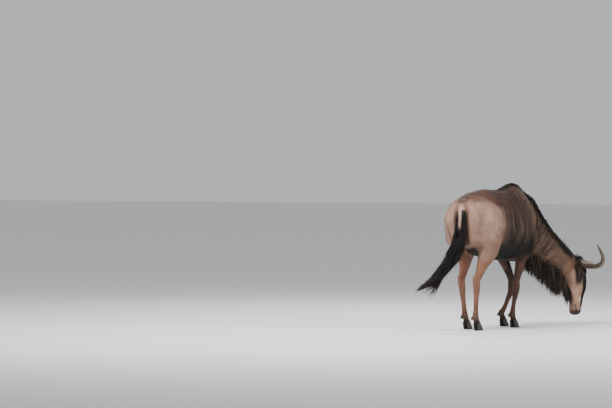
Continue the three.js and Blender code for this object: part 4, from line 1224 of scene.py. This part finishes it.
def surface_at(starts, ways):
    """Where rays meet the skin, the way it faces there, and which of them met it."""
    found, facing, met = starts.copy(), -ways, np.zeros(len(starts), bool)
    for k in range(len(starts)):
        spot, normal = tree.ray_cast(Vector(starts[k] + SHIFT), Vector(ways[k]), RAY_REACH)[:2]
        if spot is not None:
            found[k], facing[k], met[k] = np.array(spot) - SHIFT, np.array(normal), True
    return found, facing, met


LOCK_TAPER = np.array([0.12, 0.72, 1.0, 0.95, 0.85, 0.68, 0.45, 0.0])
LOCK_THICK = 0.0026
LOCK_ROOT = 0.004
lock_finish = hair_finish("long_hair", 0.56, 0)


def locks(name, roots, facing, first, fall, lengths, lift, bend, widths, thicks, colours, keep):
    """One piece of long hair: its paths worked out from the roots that are kept, then its locks."""
    roots, facing = roots[keep], facing[keep]
    paths = fall_paths(roots - facing * LOCK_ROOT, first[keep], fall[keep], lengths[keep],
                       len(LOCK_TAPER), lift[keep], bend)
    strands(name, paths, facing[:, None] + 0 * paths, widths[keep], thicks[keep], LOCK_TAPER, 4,
            colours[keep], np.zeros((len(roots), 3)), patch_of(roots), lock_finish)


def black_or_brown(rng, count, brown_share, brown, black):
    """A colour for each lock, some of them brown, lighter and darker by chance."""
    brown_ones = (rng.random(count) < brown_share)[:, None]
    return np.where(brown_ones, brown, black) * rng.uniform(0.7, 1.5, count)[:, None]


rng = np.random.default_rng(31)
count = 3500
share = np.sort(rng.uniform(0.08, 0.90, count))
centre, axis, top, side = sections(NECK, share, NECK_REFERENCE)[:4]
turn = rng.normal(0, 0.13, count)
starts = centre + (top * np.cos(turn)[:, None] - side * np.sin(turn)[:, None]) * 0.42
roots, facing, met = surface_at(starts, unit(centre - starts))
kind = rng.random(count)
lean = np.where(kind < 0.58, 1.0, np.where(kind < 0.78, -0.8, 0.15)) * rng.uniform(0.7, 1.2, count)
left = np.where((side[:, 1] < 0)[:, None], -side, side)
first = facing * (0.9 - 0.3 * np.abs(lean))[:, None] + left * lean[:, None] * 0.5 - axis * 0.5
fall = unit(left * lean[:, None] * 0.35 - UP * np.where(kind < 0.78, 1.0, 0.1)[:, None] - axis * 0.35
            + rng.normal(0, 0.12, (count, 3)))
lengths = np.where(kind < 0.58, 0.150, np.where(kind < 0.78, 0.075, 0.062)) * rng.uniform(0.7, 1.25, count)
lengths = lengths * (0.55 + 0.45 * smoothstep(0.06, 0.25, share)) * (0.7 + 0.3 * smoothstep(0.92, 0.8, share))
locks("mane", roots, facing, first, fall, lengths, rng.uniform(0.002, 0.017, count), 0.34,
      rng.uniform(0.0038, 0.0080, count), np.full(count, LOCK_THICK),
      black_or_brown(rng, count, 0.2, [0.030, 0.019, 0.013], [0.009, 0.007, 0.006]), met)

count = 900
starts = np.stack([rng.uniform(-0.30, 0.13, count), rng.normal(0, 0.014, count), np.full(count, 1.55)], 1)
roots, facing, met = surface_at(starts, np.tile(-UP, (count, 1)))
fall = unit(np.array([-1.0, 0, -0.25]) + rng.normal(0, 0.16, (count, 3)))
tall = smoothstep(-0.30, -0.02, starts[:, 0])
locks("withers_crest", roots, facing, facing * (0.35 + 0.4 * tall)[:, None] + fall, fall,
      (0.022 + 0.030 * tall) * rng.uniform(0.7, 1.2, count), rng.uniform(0.001, 0.006, count), 0.4,
      rng.uniform(0.004, 0.007, count), np.full(count, LOCK_THICK),
      black_or_brown(rng, count, 0.3, [0.034, 0.018, 0.012], [0.010, 0.007, 0.006]), met)

count = 2600
share = rng.uniform(0.36, 0.93, count)
centre, axis, top, side = sections(NECK, share, NECK_REFERENCE)[:4]
turn = rng.normal(0, 0.30, count).clip(-0.8, 0.8)
way = -top * np.cos(turn)[:, None] + side * np.sin(turn)[:, None]
roots, facing, met = surface_at(centre, way)
met &= np.linalg.norm(roots - centre, axis=1) < 0.34
facing = np.where(((facing * way).sum(1) > 0)[:, None], facing, -facing)
chin = count // 4
down = face_down * rng.uniform(0.10, 0.30, (chin, 1))
aside = face_right * rng.normal(0, 0.018, (chin, 1)).clip(-0.030, 0.030)
starts = POLL + down + aside - face_out * 0.4
roots[:chin], facing[:chin], met[:chin] = surface_at(starts, np.tile(face_out, (chin, 1)))
fall = unit(-UP * 1.0 + axis * rng.uniform(-0.05, 0.3, (count, 1)) + rng.normal(0, 0.10, (count, 3)))
lengths = 0.145 * rng.uniform(0.55, 1.25, count) * (0.75 + 0.5 * smoothstep(0.35, 0.7, share))
lengths[:chin] *= 0.62
met &= (roots[:, 0] > 0.13) & ((np.arange(count) >= chin) | (facing @ face_out < -0.55))
met &= (np.arange(count) < chin) | (is_head(roots) < 0.4)
locks("beard", roots, facing, facing * 0.8 + fall * 0.7, fall, lengths,
      rng.uniform(0.002, 0.010, count), 0.32,
      rng.uniform(0.0038, 0.0082, count), np.full(count, LOCK_THICK),
      black_or_brown(rng, count, 0.45, [0.052, 0.034, 0.024], [0.011, 0.008, 0.007]), met)

count = 2600
crown = np.arange(count) < 1000
down = np.where(crown, rng.uniform(-0.01, 0.070, count), rng.uniform(0.085, 0.41, count))
right = rng.normal(0, 1, count).clip(-2, 2) * np.where(crown, 0.024, 0.016)
starts = POLL + face_down * down[:, None] + face_right * right[:, None] + face_out * 0.3
roots, facing, met = surface_at(starts, np.tile(-face_out, (count, 1)))
lengths = np.where(crown, 0.056, 0.017) * rng.uniform(0.6, 1.25, count)
fall = unit(face_down + face_right * right[:, None] * 6 + rng.normal(0, 0.10, (count, 3)))
first = facing * np.where(crown, 0.55, 0.30)[:, None] + fall * 0.9
locks("forelock", roots, facing, first, fall, lengths,
      rng.uniform(0.001, 0.007, count) * np.where(crown, 1, 0.35), 0.30,
      np.where(crown, 0.0046, 0.0028) * rng.uniform(0.7, 1.2, count), np.where(crown, 0.0022, 0.0012),
      black_or_brown(rng, count, 0.1, [0.020, 0.012, 0.009], [0.008, 0.006, 0.006]),
      met & (facing @ face_out > 0.2))

# Tail. Dark hair in closed locks fringes both sides of the pale dock and gathers below it into a
# long black tuft, which swings out behind to the left and thins to brown points.
TAIL = np.array([
    [-0.922, -0.008, 1.122], [-0.972, -0.022, 1.045], [-0.990, -0.026, 0.950], [-0.996, -0.018, 0.850],
    [-1.004, -0.004, 0.760], [-1.022, 0.030, 0.665], [-1.056, 0.084, 0.570], [-1.100, 0.150, 0.480],
    [-1.160, 0.222, 0.408], [-1.225, 0.300, 0.352],
])
TAIL_SPREAD = np.array([
    [0.036], [0.037], [0.034], [0.036], [0.044], [0.047], [0.044], [0.034], [0.020], [0.006],
])
TAIL_TAPER = np.array([0.15, 0.75, 1.0, 1.0, 0.95, 0.85, 0.68, 0.42, 0.0])
rng = np.random.default_rng(53)
count, levels = 3900, len(TAIL_TAPER)
in_dock = rng.random(count) < 0.34
first_share = np.where(in_dock, rng.uniform(0.06, 0.38, count), rng.uniform(0.33, 0.78, count))
span = rng.uniform(0.16, 0.34, count)
last_share = np.minimum(first_share + span, rng.uniform(0.80, 1.0, count))
t = first_share[:, None] + (last_share - first_share)[:, None] * np.linspace(0, 1, levels)
middle = along(TAIL, t.ravel()).reshape(count, levels, 3)
axis = unit(along(TAIL, t.ravel() + 0.01) - along(TAIL, t.ravel() - 0.01)).reshape(count, levels, 3)
across = unit(np.cross(axis, np.array([1.0, 0.0, 0.3])))
depth = np.cross(axis, across)
on_dock = first_share < 0.36
fringe = np.where(rng.random(count) < 0.5, 0, math.pi) + rng.normal(0, 0.30, count)
angle = np.where(on_dock, fringe, rng.uniform(0, 2 * math.pi, count))[:, None]
wide = along(TAIL_SPREAD, t.ravel()).reshape(count, levels)
inside = np.where(on_dock, 1.0, np.sqrt(rng.uniform(0.05, 1.0, count)))[:, None]
shed = np.linspace(0, 1, levels)[None] ** 1.5
root_pull = 0.72 + 0.28 * np.minimum(1, np.linspace(0, 1, levels)[None] * 3)
gap = wide * inside * root_pull * (1 + 0.25 * shed * rng.normal(0, 1, (count, 1)))
paths = middle + across * (gap * np.cos(angle))[..., None] + depth * (gap * np.sin(angle))[..., None]
paths += rng.normal(0, 0.010, (count, 1, 3)) * shed[..., None]
stray = ((rng.random(count) < 0.26) * rng.uniform(0.25, 1.0, count))[:, None] * smoothstep(0.70, 1.0, t)
paths += np.array([0.085, -0.085, -0.085]) * stray[..., None]
outward = unit(paths - middle)
end = smoothstep(0.80, 1.0, last_share)
brown = end[:, None] * np.array([0.030, 0.016, 0.010]) * rng.random((count, 1))
colours = np.array([0.008, 0.006, 0.006]) + brown
colours = colours * rng.uniform(0.7, 1.6, count)[:, None]
strands("tail_hair", paths, outward, rng.uniform(0.0042, 0.0085, count), np.full(count, 0.0030),
        TAIL_TAPER, 3, colours, np.zeros((count, 3)), patch_of(paths[:, 0]), lock_finish,
        ("tail_tuft",))
